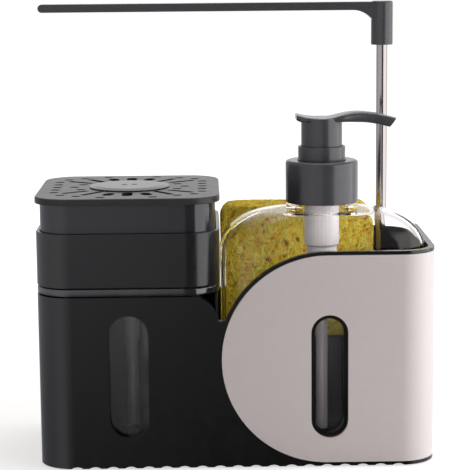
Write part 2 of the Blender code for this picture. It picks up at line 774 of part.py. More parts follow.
def add_panel_recess(kit, body):
    """Lets the cover panel in, so that its face lies level with the caddy's."""
    depth = PANEL_THICKNESS + FIT
    recess = prism(
        "panel_recess",
        [caddy_plan(-OVERRUN), caddy_plan(depth)],
        PANEL_FOOT_Z - 2 * FIT,
        HIGH_RIM_Z,
    )
    kit.cutter(recess)
    shape = prism(
        "recess_shape",
        [panel_outline(FIT)],
        FRONT_Y - 2 * OVERRUN,
        FRONT_Y + PANEL_WRAP + FIT,
        "Y",
    )
    kit.keep(recess, shape)
    kit.cut(body, recess)


def add_scallops(kit, body):
    front = scallops(scallop_count(CADDY_WIDTH), CADDY_X)
    for name, start in (("front_scallops", FRONT_Y), ("back_scallops", BACK_Y)):
        kit.cut(body, prism(name, front, start - THICK_WALL - OVERRUN, start + THICK_WALL + OVERRUN, "Y"))
    side = scallops(scallop_count(CADDY_DEPTH), 0)
    for name, start in (("left_scallops", LEFT_X), ("right_scallops", RIGHT_X)):
        kit.cut(body, prism(name, side, start - THICK_WALL - OVERRUN, start + THICK_WALL + OVERRUN, "X"))


def add_rod_socket(kit, body):
    socket = post_profile(SOCKET_R, SOCKET_TOP_Z, FLOOR_UNDER_Z + FIT)
    kit.join(body, turned("rod_socket", socket, (ROD_X, ROD_Y)))
    bore_r = ROD_R + FIT
    hole_r = SCREW_R + FIT
    bore = turned(
        "rod_bore",
        [
            (0, SOCKET_TOP_Z + OVERRUN),
            (bore_r, SOCKET_TOP_Z + OVERRUN),
            (bore_r, FLOOR_TOP_Z),
            (hole_r, FLOOR_TOP_Z),
            (hole_r, FLOOR_UNDER_Z - OVERRUN),
            (0, FLOOR_UNDER_Z - OVERRUN),
        ],
        (ROD_X, ROD_Y),
    )
    kit.cut(body, bore)


def slot_row(count, left, right, y, length, width):
    """Outlines of a row of slots that lie along Y."""
    pitch = (right - left) / count
    half = (length - width) / 2
    rows = [left + pitch * (index + 0.5) for index in range(count)]
    return [stadium((x, y - half), (x, y + half), width) for x in rows]


def add_drains(kit, body):
    drains = slot_row(DRAINS, RACK_LEFT_X, RACK_RIGHT_X, SLOT_Y, DRAIN_LENGTH, DRAIN_WIDTH)
    kit.cut(body, prism("drains", drains, FLOOR_UNDER_Z - OVERRUN, FLOOR_TOP_Z + OVERRUN))


def make_caddy(kit, black):
    body = make_caddy_body(kit, black)
    add_window_lip(kit, body)
    add_tank_window(kit, body)
    add_panel_recess(kit, body)
    add_scallops(kit, body)
    add_rod_socket(kit, body)
    add_drains(kit, body)


def make_cover_panel(kit, material):
    panel = prism(
        "cover_panel",
        [caddy_plan(0), caddy_plan(PANEL_THICKNESS)],
        PANEL_FOOT_Z - OVERRUN,
        HIGH_RIM_Z + OVERRUN,
    )
    kit.node(panel, material)
    shape = prism("panel_shape", [panel_outline(0)], FRONT_Y - OVERRUN, FRONT_Y + PANEL_WRAP, "Y")
    kit.keep(panel, shape)
    window = prism(
        "panel_window", [panel_window(0)], FRONT_Y - OVERRUN, FRONT_Y + PANEL_THICKNESS + OVERRUN, "Y"
    )
    kit.cut(panel, window)


def make_feet(kit, rubber):
    for across, x in (("left", LEFT_X + FOOT_INSET), ("right", RIGHT_X - FOOT_INSET)):
        for along, y in (("front", FRONT_Y + FOOT_INSET), ("back", BACK_Y - FOOT_INSET)):
            top = FLOOR_UNDER_Z - FIT
            foot = turned(f"foot_{along}_{across}", post_profile(FOOT_R, top, 0), (x, y))
            kit.node(foot, rubber)


def make_sponge_rack(kit, material):
    """A bench with drain slots that keeps the sponge off the floor."""
    left = RACK_LEFT_X
    right = RACK_RIGHT_X
    under = RACK_TOP_Z - RACK_THICKNESS
    outline = [
        (left, STAND_Z),
        (left + RACK_THICKNESS, STAND_Z),
        (left + RACK_THICKNESS, under),
        (right - RACK_THICKNESS, under),
        (right - RACK_THICKNESS, STAND_Z),
        (right, STAND_Z),
        (right, RACK_TOP_Z),
        (left, RACK_TOP_Z),
    ]
    front = SLOT_FRONT_Y + INNER_CORNER_R
    rack = prism("sponge_rack", [outline], front, SLOT_BACK_Y - INNER_CORNER_R, "Y")
    kit.node(rack, material)
    slots = slot_row(RACK_SLOTS, left, right, SLOT_Y, RACK_SLOT_LENGTH, RACK_SLOT_WIDTH)
    kit.cut(rack, prism("rack_slots", slots, under - OVERRUN, RACK_TOP_Z + OVERRUN))


def make_sponge(kit, material):
    low = (SPONGE_LEFT_X, RACK_TOP_Z + FIT)
    high = (SPONGE_RIGHT_X, SPONGE_TOP_Z)
    centre = Vector(((low[0] + high[0]) / 2, SLOT_Y, 0))
    carrier = kit.joint("sponge_lift_axis", centre)
    sponge = prism(
        "sponge",
        [rounded_rect(low, high, SPONGE_CORNER_R, SMALL_QUARTER_STEPS)],
        SLOT_Y - SPONGE_THICKNESS / 2,
        SLOT_Y + SPONGE_THICKNESS / 2,
        "Y",
    )
    kit.node(sponge, material, carrier)


def make_rod(kit, steel):
    foot = STAND_Z
    top = ARM_BOTTOM_Z + ARM_HEIGHT + BOSS_CROWN - BOSS_ROOF - FIT
    tap_top = foot + ROD_TAP_DEPTH
    rod = turned(
        "towel_rod",
        [(0, top), (ROD_R, top), (ROD_R, foot), (ROD_TAP_R, foot), (ROD_TAP_R, tap_top), (0, tap_top)],
        (ROD_X, ROD_Y),
        VISIBLE_TURN_STEPS,
    )
    kit.node(rod, steel)
    head_top = FLOOR_UNDER_Z - FIT
    head_foot = head_top - SCREW_HEAD_HEIGHT
    shank_top = head_top + SCREW_LENGTH
    screw = turned(
        "rod_screw",
        [
            (0, shank_top),
            (SCREW_R, shank_top),
            (SCREW_R, head_top),
            (SCREW_HEAD_R, head_top),
            (SCREW_HEAD_R, head_foot),
            (0, head_foot),
        ],
        (ROD_X, ROD_Y),
    )
    kit.node(screw, steel)


def arm_outline():
    """Front view of the arm, with the curved gusset that runs down into the boss."""
    top = ARM_BOTTOM_Z + ARM_HEIGHT
    half = ARM_HEIGHT / 2
    tip_x = ROD_X - ARM_LENGTH
    boss_x = ROD_X - BOSS_R
    outline = arc((tip_x + half, ARM_BOTTOM_Z + half), half, 90, 270)
    radius = (GUSSET_RUN**2 + GUSSET_DROP**2) / (2 * GUSSET_DROP)
    sweep = math.degrees(math.asin(GUSSET_RUN / radius))
    outline += arc((boss_x - GUSSET_RUN, ARM_BOTTOM_Z - radius), radius, 90, 90 - sweep)
    return outline + [(ROD_X, ARM_BOTTOM_Z - GUSSET_DROP), (ROD_X, top)]


def make_arm(kit, material, nylon):
    carrier = kit.joint("arm_swivel_axis", (ROD_X, ROD_Y, BOSS_FOOT_Z))
    arm = prism("towel_arm", [arm_outline()], ROD_Y - ARM_DEPTH / 2, ROD_Y + ARM_DEPTH / 2, "Y")
    kit.node(arm, material, carrier)
    crown = ARM_BOTTOM_Z + ARM_HEIGHT + BOSS_CROWN
    boss_profile = [
        (0, crown),
        (BOSS_R - BOSS_EDGE, crown),
        (BOSS_R, crown - BOSS_EDGE),
        (BOSS_R, BOSS_FOOT_Z),
        (0, BOSS_FOOT_Z),
    ]
    kit.join(arm, turned("arm_boss", boss_profile, (ROD_X, ROD_Y), VISIBLE_TURN_STEPS))
    roof = crown - BOSS_ROOF
    rod_r = ROD_R + FIT
    bush_r = rod_r + BUSH_WALL
    bush_top = BOSS_FOOT_Z + BUSH_LENGTH
    wide_r = bush_r + FIT
    wide_top = bush_top + FIT
    bore_profile = [
        (0, roof),
        (rod_r, roof),
        (rod_r, wide_top),
        (wide_r, wide_top),
        (wide_r, BOSS_FOOT_Z - OVERRUN),
        (0, BOSS_FOOT_Z - OVERRUN),
    ]
    kit.cut(arm, turned("arm_bore", bore_profile, (ROD_X, ROD_Y)))
    bush = turned("arm_bush", ring_profile(bush_r, rod_r, BOSS_FOOT_Z, bush_top), (ROD_X, ROD_Y))
    kit.node(bush, nylon, carrier)


def make_tank(kit, clear, rubber, carrier):
    half = TANK_SIZE / 2
    inner = half - TANK_WALL
    inner_r = TANK_CORNER_R - TANK_WALL
    flange = COLLAR_SIZE / 2
    seat = inner + SEAT_WIDTH
    seat_r = inner_r + SEAT_WIDTH
    seat_z = FLANGE_TOP_Z - SEAT_DEPTH
    floor = STAND_Z + TANK_FLOOR
    loops = [
        square_loop(half - TANK_EDGE_R, TANK_CORNER_R - TANK_EDGE_R, STAND_Z),
        square_loop(half, TANK_CORNER_R, STAND_Z + TANK_EDGE_R),
        square_loop(half, TANK_CORNER_R, FLANGE_FOOT_Z),
        square_loop(flange, COLLAR_CORNER_R, FLANGE_FOOT_Z),
        square_loop(flange, COLLAR_CORNER_R, FLANGE_TOP_Z),
        square_loop(seat, seat_r, FLANGE_TOP_Z),
        square_loop(seat, seat_r, seat_z),
        square_loop(inner, inner_r, seat_z),
        square_loop(inner, inner_r, floor + TANK_EDGE_R),
        square_loop(inner - TANK_EDGE_R, inner_r - TANK_EDGE_R, floor),
    ]
    kit.node(lofted("soap_tank", loops, (TANK_X, TANK_Y, 0)), clear, carrier)
    outer = seat - FIT
    outer_r = seat_r - FIT
    foot = seat_z + FIT
    top = COLLAR_FOOT_Z - FIT
    lip = inner - FIT
    lip_r = inner_r - FIT
    gasket = [
        square_loop(outer, outer_r, foot),
        square_loop(outer, outer_r, top),
        square_loop(lip, lip_r, top),
        square_loop(lip, lip_r, foot),
    ]
    kit.node(lofted("tank_gasket", gasket, (TANK_X, TANK_Y, 0), ring=True), rubber, carrier)


def make_collar(kit, black, carrier):
    half = COLLAR_SIZE / 2
    bore = SKIRT_SIZE / 2 + SLIDE_FIT
    bore_r = COLLAR_CORNER_R - (half - bore)
    plug = TANK_SIZE / 2 - TANK_WALL - 2 * FIT
    plug_r = TANK_CORNER_R - TANK_WALL - 2 * FIT
    plug_foot = COLLAR_FOOT_Z - PLUG_DEPTH
    loops = [
        square_loop(plug - PLUG_WALL, plug_r - PLUG_WALL, COLLAR_FOOT_Z),
        square_loop(plug - PLUG_WALL, plug_r - PLUG_WALL, plug_foot),
        square_loop(plug, plug_r, plug_foot),
        square_loop(plug, plug_r, COLLAR_FOOT_Z),
        square_loop(half, COLLAR_CORNER_R, COLLAR_FOOT_Z),
        square_loop(half, COLLAR_CORNER_R, COLLAR_TOP_Z - COLLAR_EDGE_R),
        square_loop(half - COLLAR_EDGE_R, COLLAR_CORNER_R - COLLAR_EDGE_R, COLLAR_TOP_Z),
        square_loop(bore, bore_r, COLLAR_TOP_Z),
        square_loop(bore, bore_r, DECK_TOP_Z),
    ]
    collar = lofted("tank_collar", loops, (TANK_X, TANK_Y, 0))
    kit.node(collar, black, carrier)
    hole = post_profile(PRESS_CYLINDER_R + FIT, DECK_TOP_Z + OVERRUN, COLLAR_FOOT_Z - OVERRUN)
    kit.cut(collar, turned("deck_hole", hole, (TANK_X, TANK_Y)))


def press_piston_foot():
    return PRESS_BORE_FOOT_Z + FIT + PRESS_SPRING_GAP + FIT


def valve_profile(valve_r, valve_foot, spigot_r, spigot_foot, chamber_top):
    """Outer steps of a pump's foot, and the inner steps back up: tube socket, seat and ball chamber."""
    socket_r = TUBE_R + TUBE_SEAT
    outer = [(valve_r, valve_foot), (spigot_r, valve_foot), (spigot_r, spigot_foot)]
    socket_top = valve_foot
    chamber_foot = socket_top + VALVE_SEAT
    inner = [
        (socket_r, spigot_foot),
        (socket_r, socket_top),
        (VALVE_HOLE_R, socket_top),
        (VALVE_HOLE_R, chamber_foot - VALVE_SEAT / 2),
        (VALVE_BORE_R, chamber_foot),
        (VALVE_BORE_R, chamber_top),
    ]
    return outer, inner


def ball_centre_z(valve_foot):
    """Height at which the ball rests on the edge of its seat's cone, a fit above it."""
    cone_rise = VALVE_SEAT / 2
    cone_run = VALVE_BORE_R - VALVE_HOLE_R
    slope = math.hypot(cone_rise, cone_run)
    hole_z = valve_foot + VALVE_SEAT / 2
    return hole_z + ((BALL_R + FIT) * slope - VALVE_HOLE_R * cone_rise) / cone_run


def make_ball(kit, name, centre, z, steel, carrier):
    mesh = bpy.data.meshes.new(name)
    bm = bmesh.new()
    bmesh.ops.create_uvsphere(bm, u_segments=BALL_STEPS, v_segments=BALL_RINGS, radius=BALL_R)
    bm.to_mesh(mesh)
    bm.free()
    ball = bpy.data.objects.new(name, mesh)
    ball.location = (centre[0], centre[1], z)
    kit.node(ball, steel, carrier)


def make_dip_tube(kit, name, centre, top, foot, clear, carrier):
    tube = turned(name, ring_profile(TUBE_R, TUBE_BORE_R, foot, top), centre)
    kit.node(tube, clear, carrier)


def make_piston(kit, name, radius, stem_r, stem_bore_r, foot, length, centre, material, carrier):
    """A cup on the foot of a stem, open through its floor."""
    socket_r = stem_r + FIT
    socket_foot = foot + STEM_SOCKET_FLOOR
    profile = [
        (radius, foot + length),
        (radius, foot),
        (stem_bore_r, foot),
        (stem_bore_r, socket_foot),
        (socket_r, socket_foot),
        (socket_r, foot + length),
    ]
    kit.node(turned(name, profile, centre), material, carrier)


def make_press_pump(kit, finishes, lid, press):
    """The cylinder and what it holds hang in the collar's deck. The stem and piston ride on the plate."""
    centre = (TANK_X, TANK_Y)
    flange_foot = DECK_TOP_Z + FIT
    flange_top = flange_foot + PRESS_CYLINDER_FLANGE
    outer, inner = valve_profile(
        PRESS_VALVE_R, PRESS_VALVE_FOOT_Z, PRESS_SPIGOT_R, PRESS_SPIGOT_FOOT_Z, PRESS_BORE_FOOT_Z
    )
    cone_top = PRESS_BORE_FOOT_Z - FIT
    cylinder = [
        (PRESS_CYLINDER_R, PRESS_CYLINDER_TOP_Z),
        (PRESS_CYLINDER_R, flange_top),
        (PRESS_CYLINDER_FLANGE_R, flange_top),
        (PRESS_CYLINDER_FLANGE_R, flange_foot),
        (PRESS_CYLINDER_R, flange_foot),
        (PRESS_CYLINDER_R, cone_top),
        (PRESS_VALVE_R, cone_top - VALVE_SEAT / 2),
        *outer,
        *inner,
        (PRESS_CYLINDER_BORE_R, PRESS_BORE_FOOT_Z),
        (PRESS_CYLINDER_BORE_R, PRESS_CYLINDER_TOP_Z),
    ]
    kit.node(turned("press_cylinder", cylinder, centre), finishes["milky"], lid)
    cap_bore = PRESS_CYLINDER_R + FIT
    cap_r = cap_bore + PRESS_CAP_WALL
    roof = PRESS_CYLINDER_TOP_Z + FIT
    stem_hole = PRESS_STEM_R + SLIDE_FIT
    cap = [
        (cap_r, roof + PRESS_CAP_ROOF),
        (cap_r, roof - PRESS_CAP_GRIP),
        (cap_bore, roof - PRESS_CAP_GRIP),
        (cap_bore, roof),
        (stem_hole, roof),
        (stem_hole, roof + PRESS_CAP_ROOF),
    ]
    kit.node(turned("press_cylinder_cap", cap, centre), finishes["black"], lid)
    make_ball(kit, "press_valve_ball", centre, ball_centre_z(PRESS_VALVE_FOOT_Z), finishes["steel"], lid)
    tank_floor = STAND_Z + TANK_FLOOR
    make_dip_tube(
        kit,
        "press_dip_tube",
        centre,
        PRESS_VALVE_FOOT_Z - FIT,
        tank_floor + TUBE_FLOOR_GAP,
        finishes["milky"],
        lid,
    )
    piston_foot = press_piston_foot()
    spring_r = PRESS_CYLINDER_BORE_R - SPRING_WIRE_R - 2 * FIT
    coil = spring("press_spring", spring_r, PRESS_BORE_FOOT_Z + FIT, PRESS_SPRING_GAP, centre)
    kit.node(coil, finishes["steel"], lid)
    make_piston(
        kit,
        "press_piston",
        PRESS_CYLINDER_BORE_R - FIT,
        PRESS_STEM_R,
        PRESS_STEM_BORE_R,
        piston_foot,
        PRESS_PISTON_LENGTH,
        centre,
        finishes["milky"],
        press,
    )
    stem_foot = piston_foot + STEM_SOCKET_FLOOR + FIT
    stem_top = PLATE_TOP_Z - FIT
    stem = turned(
        "press_stem", ring_profile(PRESS_STEM_R, PRESS_STEM_BORE_R, stem_foot, stem_top), centre
    )
    kit.node(stem, finishes["milky"], press)


def mirrored_slots(start, end, width):
    """A slot of one quarter of the plate and its mirror images, given from the plate's middle."""
    outlines = []
    seen = set()
    for side_x in (1, -1):
        for side_y in (1, -1):
            ends = [(TANK_X + side_x * x, TANK_Y + side_y * y) for x, y in (start, end)]
            key = frozenset((round(x / FIT), round(y / FIT)) for x, y in ends)
            if key not in seen:
                seen.add(key)
                outlines.append(stadium(ends[0], ends[1], width, HOLE_QUARTER_STEPS))
    return outlines


def plate_holes():
    """Outlines of the sunburst of drain holes, the side columns of dashes and the middle hole."""
    half = PLATE_SIZE / 2
    outlines = [circle((TANK_X, TANK_Y), SPIGOT_R + FIT)]
    for angle_share, inner_share, outer_share, wide in SPOKE_SHARES:
        turn = math.pi / 2 * angle_share
        width = WIDE_HOLE_WIDTH if wide else HOLE_WIDTH
        reaches = (inner_share * half + width / 2, outer_share * half - width / 2)
        start, end = [(reach * math.cos(turn), reach * math.sin(turn)) for reach in reaches]
        outlines += mirrored_slots(start, end, width)
    straight = (DASH_LENGTH - HOLE_WIDTH) / 2
    for x_share, y_share in DASH_SHARES:
        x = x_share * half
        y = y_share * half
        outlines += mirrored_slots((x - straight, y), (x + straight, y), HOLE_WIDTH)
    return outlines


def make_press_plate(kit, black, press):
    """Square plate with a rounded top edge and a turned-down rim."""
    half = PLATE_SIZE / 2
    corner = PLATE_CORNER_R
    edge = PLATE_EDGE_R
    wall = PLATE_RIM_WALL
    loops = [
        square_loop(half - edge, corner - edge, PLATE_TOP_Z),
        square_loop(half - edge * EDGE_SHARE, corner - edge * EDGE_SHARE, PLATE_TOP_Z - edge * EDGE_SHARE),
        square_loop(half, corner, PLATE_TOP_Z - edge),
        square_loop(half, corner, PLATE_RIM_FOOT_Z + edge),
        square_loop(half - edge, corner - edge, PLATE_RIM_FOOT_Z),
        square_loop(half - wall, corner - wall, PLATE_RIM_FOOT_Z),
        square_loop(half - wall, corner - wall, PLATE_UNDER_Z),
    ]
    plate = lofted("press_plate", loops, (TANK_X, TANK_Y, 0))
    kit.node(plate, black, press)
    kit.cut(plate, prism("plate_holes", plate_holes(), PLATE_UNDER_Z - OVERRUN, PLATE_TOP_Z + OVERRUN))


def make_skirt(kit, black, press):
    """Sleeve under the plate, with an inward web that the plate rests on."""
    half = SKIRT_SIZE / 2
    radius = COLLAR_CORNER_R - (COLLAR_SIZE - SKIRT_SIZE) / 2
    inner = half - SKIRT_WALL
    inner_r = radius - SKIRT_WALL
    web = half - SKIRT_WEB
    web_r = radius - SKIRT_WEB
    web_foot = SKIRT_TOP_Z - SKIRT_WEB_THICKNESS
    loops = [
        square_loop(half, radius, SKIRT_FOOT_Z),
        square_loop(half, radius, SKIRT_TOP_Z),
        square_loop(web, web_r, SKIRT_TOP_Z),
        square_loop(web, web_r, web_foot),
        square_loop(inner, inner_r, web_foot),
        square_loop(inner, inner_r, SKIRT_FOOT_Z),
    ]
    kit.node(lofted("press_skirt", loops, (TANK_X, TANK_Y, 0), ring=True), black, press)


def make_outlet_disc(kit, black, press):
    """Raised disc with two outlet slots. Its spigot goes down through the plate and takes the stem."""
    centre = (TANK_X, TANK_Y)
    foot = PLATE_TOP_Z + FIT
    top = foot + DISC_HEIGHT
    spigot_foot = foot - SPIGOT_LENGTH
    socket_r = PRESS_STEM_R + FIT
    profile = [
        (0, top),
        (DISC_R - DISC_HEIGHT, top),
        (DISC_R, foot + DISC_HEIGHT * EDGE_SHARE),
        (DISC_R, foot),
        (SPIGOT_R, foot),
        (SPIGOT_R, spigot_foot),
        (socket_r, spigot_foot),
        (socket_r, PLATE_TOP_Z),
        (0, PLATE_TOP_Z),
    ]
    disc = turned("outlet_disc", profile, centre, VISIBLE_TURN_STEPS)
    kit.node(disc, black, press)
    slots = []
    for side in (-1, 1):
        near = TANK_X + side * (OUTLET_WEB / 2 + OUTLET_WIDTH / 2)
        far = near + side * (OUTLET_LENGTH - OUTLET_WIDTH)
        slots.append(stadium((near, TANK_Y), (far, TANK_Y), OUTLET_WIDTH))
    kit.cut(disc, prism("outlet_slots", slots, PLATE_TOP_Z - OVERRUN, top + OVERRUN))


def make_tank_unit(kit, finishes):
    """The tank lifts out of its bay, the collar off the tank, and the plate travels in the collar."""
    tank = kit.joint("tank_lift_axis", (TANK_X, TANK_Y, STAND_Z))
    lid = kit.joint("lid_lift_axis", (TANK_X, TANK_Y, COLLAR_FOOT_Z))
    press = kit.joint("press_travel_axis", (TANK_X, TANK_Y, PLATE_TOP_Z))
    make_tank(kit, finishes["clear"], finishes["rubber"], tank)
    make_collar(kit, finishes["black"], lid)
    make_press_pump(kit, finishes, lid, press)
    make_press_plate(kit, finishes["black"], press)
    make_skirt(kit, finishes["gloss_black"], press)
    make_outlet_disc(kit, finishes["black"], press)


def shoulder_loops(inset):
    """Loops of the bottle's shoulder, rising from the wall to the neck, drawn in by a wall's inset."""
    half_x = BOTTLE_WIDTH / 2 - inset
    half_y = BOTTLE_DEPTH / 2 - inset
    corner = BOTTLE_SIDE_R - inset
    rise = SHOULDER_TOP_Z - SHOULDER_FOOT_Z
    loops = []
    for step in range(SHOULDER_STEPS + 1):
        turn = math.pi / 2 * step / SHOULDER_STEPS
        run = 1 - math.cos(turn)
        loops.append(
            rounded_loop(
                half_x - SHOULDER_RUN_X * run,
                half_y - SHOULDER_RUN_Y * run,
                corner - (corner - NECK_BEAD_R + inset) * run,
                SHOULDER_FOOT_Z - inset + rise * math.sin(turn),
            )
        )
    return loops


def make_bottle(kit, clear, carrier):
    half_x = BOTTLE_WIDTH / 2
    half_y = BOTTLE_DEPTH / 2
    edge = BOTTLE_EDGE_R
    inner_floor = STAND_Z + BOTTLE_FLOOR
    wall = BOTTLE_WALL
    inset = wall + edge
    bead_foot = SHOULDER_TOP_Z + FIT
    loops = [
        rounded_loop(half_x - edge, half_y - edge, BOTTLE_SIDE_R - edge, STAND_Z),
        rounded_loop(half_x, half_y, BOTTLE_SIDE_R, STAND_Z + edge),
        *shoulder_loops(0),
        round_loop(NECK_BEAD_R, bead_foot),
        round_loop(NECK_BEAD_R, NECK_BEAD_TOP_Z),
        round_loop(NECK_R, NECK_BEAD_TOP_Z),
        round_loop(NECK_R, NECK_TOP_Z),
        round_loop(NECK_BORE_R, NECK_TOP_Z),
        round_loop(NECK_BORE_R, SHOULDER_TOP_Z - wall + FIT),
        *reversed(shoulder_loops(wall)),
        rounded_loop(half_x - wall, half_y - wall, BOTTLE_SIDE_R - wall, inner_floor + edge),
        rounded_loop(half_x - inset, half_y - inset, BOTTLE_SIDE_R - inset, inner_floor),
    ]
    kit.node(lofted("lotion_bottle", loops, (BOTTLE_X, BOTTLE_Y, 0)), clear, carrier)


def make_closure(kit, finishes, carrier):
    """Screw cap, gasket, housing and the chaplet that the cap clamps on the neck."""
    centre = (BOTTLE_X, BOTTLE_Y)
    gasket_foot = NECK_TOP_Z + FIT
    gasket_top = gasket_foot + GASKET_HEIGHT
    flange_foot = gasket_top + FIT
    flange_top = flange_foot + HOUSING_FLANGE
    chaplet_foot = flange_top + FIT
    chaplet_flange_top = chaplet_foot + CHAPLET_FLANGE
    shelf = chaplet_flange_top + FIT
    inner_r = CLOSURE_R - CLOSURE_WALL
    hole_r = CHAPLET_R + FIT
    closure = [
        (CLOSURE_R - CLOSURE_EDGE_R, CLOSURE_TOP_Z),
        (CLOSURE_R - CLOSURE_EDGE_R * EDGE_SHARE, CLOSURE_TOP_Z - CLOSURE_EDGE_R * EDGE_SHARE),
        (CLOSURE_R, CLOSURE_TOP_Z - CLOSURE_EDGE_R),
        (CLOSURE_R, CLOSURE_FOOT_Z),
        (inner_r, CLOSURE_FOOT_Z),
        (inner_r, shelf),
        (hole_r, shelf),
        (hole_r, CLOSURE_TOP_Z),
    ]
    kit.node(turned("bottle_closure", closure, centre, VISIBLE_TURN_STEPS), finishes["black"], carrier)
    gasket = ring_profile(NECK_R, NECK_BORE_R, gasket_foot, gasket_top)
    kit.node(turned("neck_gasket", gasket, centre), finishes["rubber"], carrier)
    stem_hole = PUMP_STEM_R + SLIDE_FIT
    chaplet_floor = chaplet_foot + CHAPLET_FLOOR
    flare_r = CHAPLET_R + CHAPLET_FLARE
    flare_foot = CLOSURE_TOP_Z + FIT
    chaplet = [
        (CHAPLET_R, CHAPLET_TOP_Z),
        (CHAPLET_R, flare_foot + CHAPLET_FLARE),
        (flare_r, flare_foot + CHAPLET_FLARE / 2),
        (flare_r, flare_foot),
        (CHAPLET_R, flare_foot),
        (CHAPLET_R, chaplet_flange_top),
        (CHAPLET_FLANGE_R, chaplet_flange_top),
        (CHAPLET_FLANGE_R, chaplet_foot),
        (stem_hole, chaplet_foot),
        (stem_hole, chaplet_floor),
        (CHAPLET_BORE_R, chaplet_floor),
        (CHAPLET_BORE_R, CHAPLET_TOP_Z),
    ]
    kit.node(turned("pump_chaplet", chaplet, centre, VISIBLE_TURN_STEPS), finishes["black"], carrier)
    outer, inner = valve_profile(
        VALVE_R, VALVE_FOOT_Z, SPIGOT_TUBE_R, SPIGOT_TUBE_FOOT_Z, HOUSING_BORE_FOOT_Z
    )
    step = HOUSING_R - HOUSING_LOWER_R
    cone_top = HOUSING_BORE_FOOT_Z - FIT
    housing = [
        (NECK_R, flange_top),
        (NECK_R, flange_foot),
        (HOUSING_R, flange_foot),
        (HOUSING_R, HOUSING_STEP_Z + step),
        (HOUSING_LOWER_R, HOUSING_STEP_Z),
        (HOUSING_LOWER_R, cone_top),
        (VALVE_R, cone_top - step),
        *outer,
        *inner,
        (HOUSING_BORE_R, HOUSING_BORE_FOOT_Z),
        (HOUSING_BORE_R, flange_top),
    ]
    kit.node(turned("pump_housing", housing, centre, VISIBLE_TURN_STEPS), finishes["milky"], carrier)


def make_pump_inside(kit, finishes, pump, stem):
    """Ball, tube and spring stay in the housing. The piston rides on the stem, which carries the head."""
    centre = (BOTTLE_X, BOTTLE_Y)
    make_ball(kit, "pump_valve_ball", centre, ball_centre_z(VALVE_FOOT_Z), finishes["steel"], pump)
    bottle_floor = STAND_Z + BOTTLE_FLOOR
    make_dip_tube(
        kit,
        "pump_dip_tube",
        centre,
        VALVE_FOOT_Z - FIT,
        bottle_floor + TUBE_FLOOR_GAP,
        finishes["milky"],
        pump,
    )
    spring_foot = HOUSING_BORE_FOOT_Z + FIT
    spring_r = HOUSING_BORE_R - SPRING_WIRE_R - 2 * FIT
    coil = spring("pump_spring", spring_r, spring_foot, PUMP_SPRING_GAP, centre)
    kit.node(coil, finishes["steel"], pump)
    piston_foot = spring_foot + PUMP_SPRING_GAP + FIT
    make_piston(
        kit,
        "pump_piston",
        HOUSING_BORE_R - FIT,
        PUMP_STEM_R,
        PUMP_STEM_BORE_R,
        piston_foot,
        PUMP_PISTON_LENGTH,
        centre,
        finishes["milky"],
        stem,
    )
    stem_foot = piston_foot + STEM_SOCKET_FLOOR + FIT
    stem_top = HEAD_SOCKET_TOP_Z - FIT
    sleeve = turned(
        "pump_stem", ring_profile(PUMP_STEM_R, PUMP_STEM_BORE_R, stem_foot, stem_top), centre
    )
    kit.node(sleeve, finishes["milky"], stem)


def spout_section(place_share, drop_share, thick_share, width_share):
    """One upright section of the spout. The last ones lean, so that the tip is cut on a slant."""
    length = SPOUT_TAIL + SPOUT_REACH
    x = -SPOUT_TAIL + place_share * length
    top = SPOUT_TOP_Z - drop_share * SPOUT_THICKNESS
    thickness = thick_share * SPOUT_THICKNESS
    half_width = width_share * SPOUT_HALF_WIDTH
    radius = min(thickness, half_width) * SPOUT_CORNER_SHARE
    outline = rounded_rect((-half_width, top - thickness), (half_width, top), radius, SMALL_QUARTER_STEPS)
    lean = SPOUT_TIP_SLANT_SHARE * length * max(place_share - 0.5, 0) / 0.5
    return [Vector((x - lean * (top - z) / thickness, y, z)) for y, z in outline]


def spout_middle():
    """Points along the middle of the spout, from over the stem to past the tip."""
    length = SPOUT_TAIL + SPOUT_REACH
    points = []
    for place_share, drop_share, thick_share, _ in SPOUT_SECTION_SHARES[-SPOUT_BORE_SECTIONS:]:
        x = -SPOUT_TAIL + place_share * length
        z = SPOUT_TOP_Z - (drop_share + thick_share / 2) * SPOUT_THICKNESS
        points.append(Vector((x, 0, z)))
    start = Vector((0, 0, HEAD_SOCKET_TOP_Z + SPOUT_BORE_R))
    end = points[-1] + (points[-1] - points[-2]).normalized() * OVERRUN
    return [start, *points, end]


def spout_bore():
    """The curved channel from the stem to the tip."""
    curve = bpy.data.curves.new("spout_bore", "CURVE")
    curve.dimensions = "3D"
    curve.bevel_depth = SPOUT_BORE_R
    curve.bevel_resolution = 1
    curve.use_fill_caps = True
    middle = spout_middle()
    spline = curve.splines.new("POLY")
    spline.points.add(len(middle) - 1)
    for point, place in zip(spline.points, middle):
        point.co = (*place, 1)
    return solid_from_curve(curve, Matrix.Translation((BOTTLE_X, BOTTLE_Y, 0)))


def make_head(kit, black, carrier):
    """Thumb saddle and spout over a skirt that telescopes into the chaplet."""
    centre = (BOTTLE_X, BOTTLE_Y)
    sections = [spout_section(*shares) for shares in SPOUT_SECTION_SHARES]
    head = lofted("pump_head", sections, (BOTTLE_X, BOTTLE_Y, 0))
    kit.node(head, black, carrier)
    skirt = post_profile(HEAD_R, HEAD_JOIN_Z, HEAD_SKIRT_FOOT_Z)
    kit.join(head, turned("head_skirt", skirt, centre, VISIBLE_TURN_STEPS))
    inner_r = HEAD_R - HEAD_WALL
    below = HEAD_SKIRT_FOOT_Z - OVERRUN
    hollow = [(inner_r, HEAD_ROOF_Z), (inner_r, below), (HUB_R, below), (HUB_R, HEAD_ROOF_Z)]
    kit.cut(head, turned("head_hollow", hollow, centre, VISIBLE_TURN_STEPS))
    kit.cut(head, turned("hub_end", post_profile(HUB_R + FIT, HUB_FOOT_Z, below), centre))
    socket = post_profile(PUMP_STEM_R + FIT, HEAD_SOCKET_TOP_Z, below)
    kit.cut(head, turned("head_socket", socket, centre))
    kit.cut(head, spout_bore())


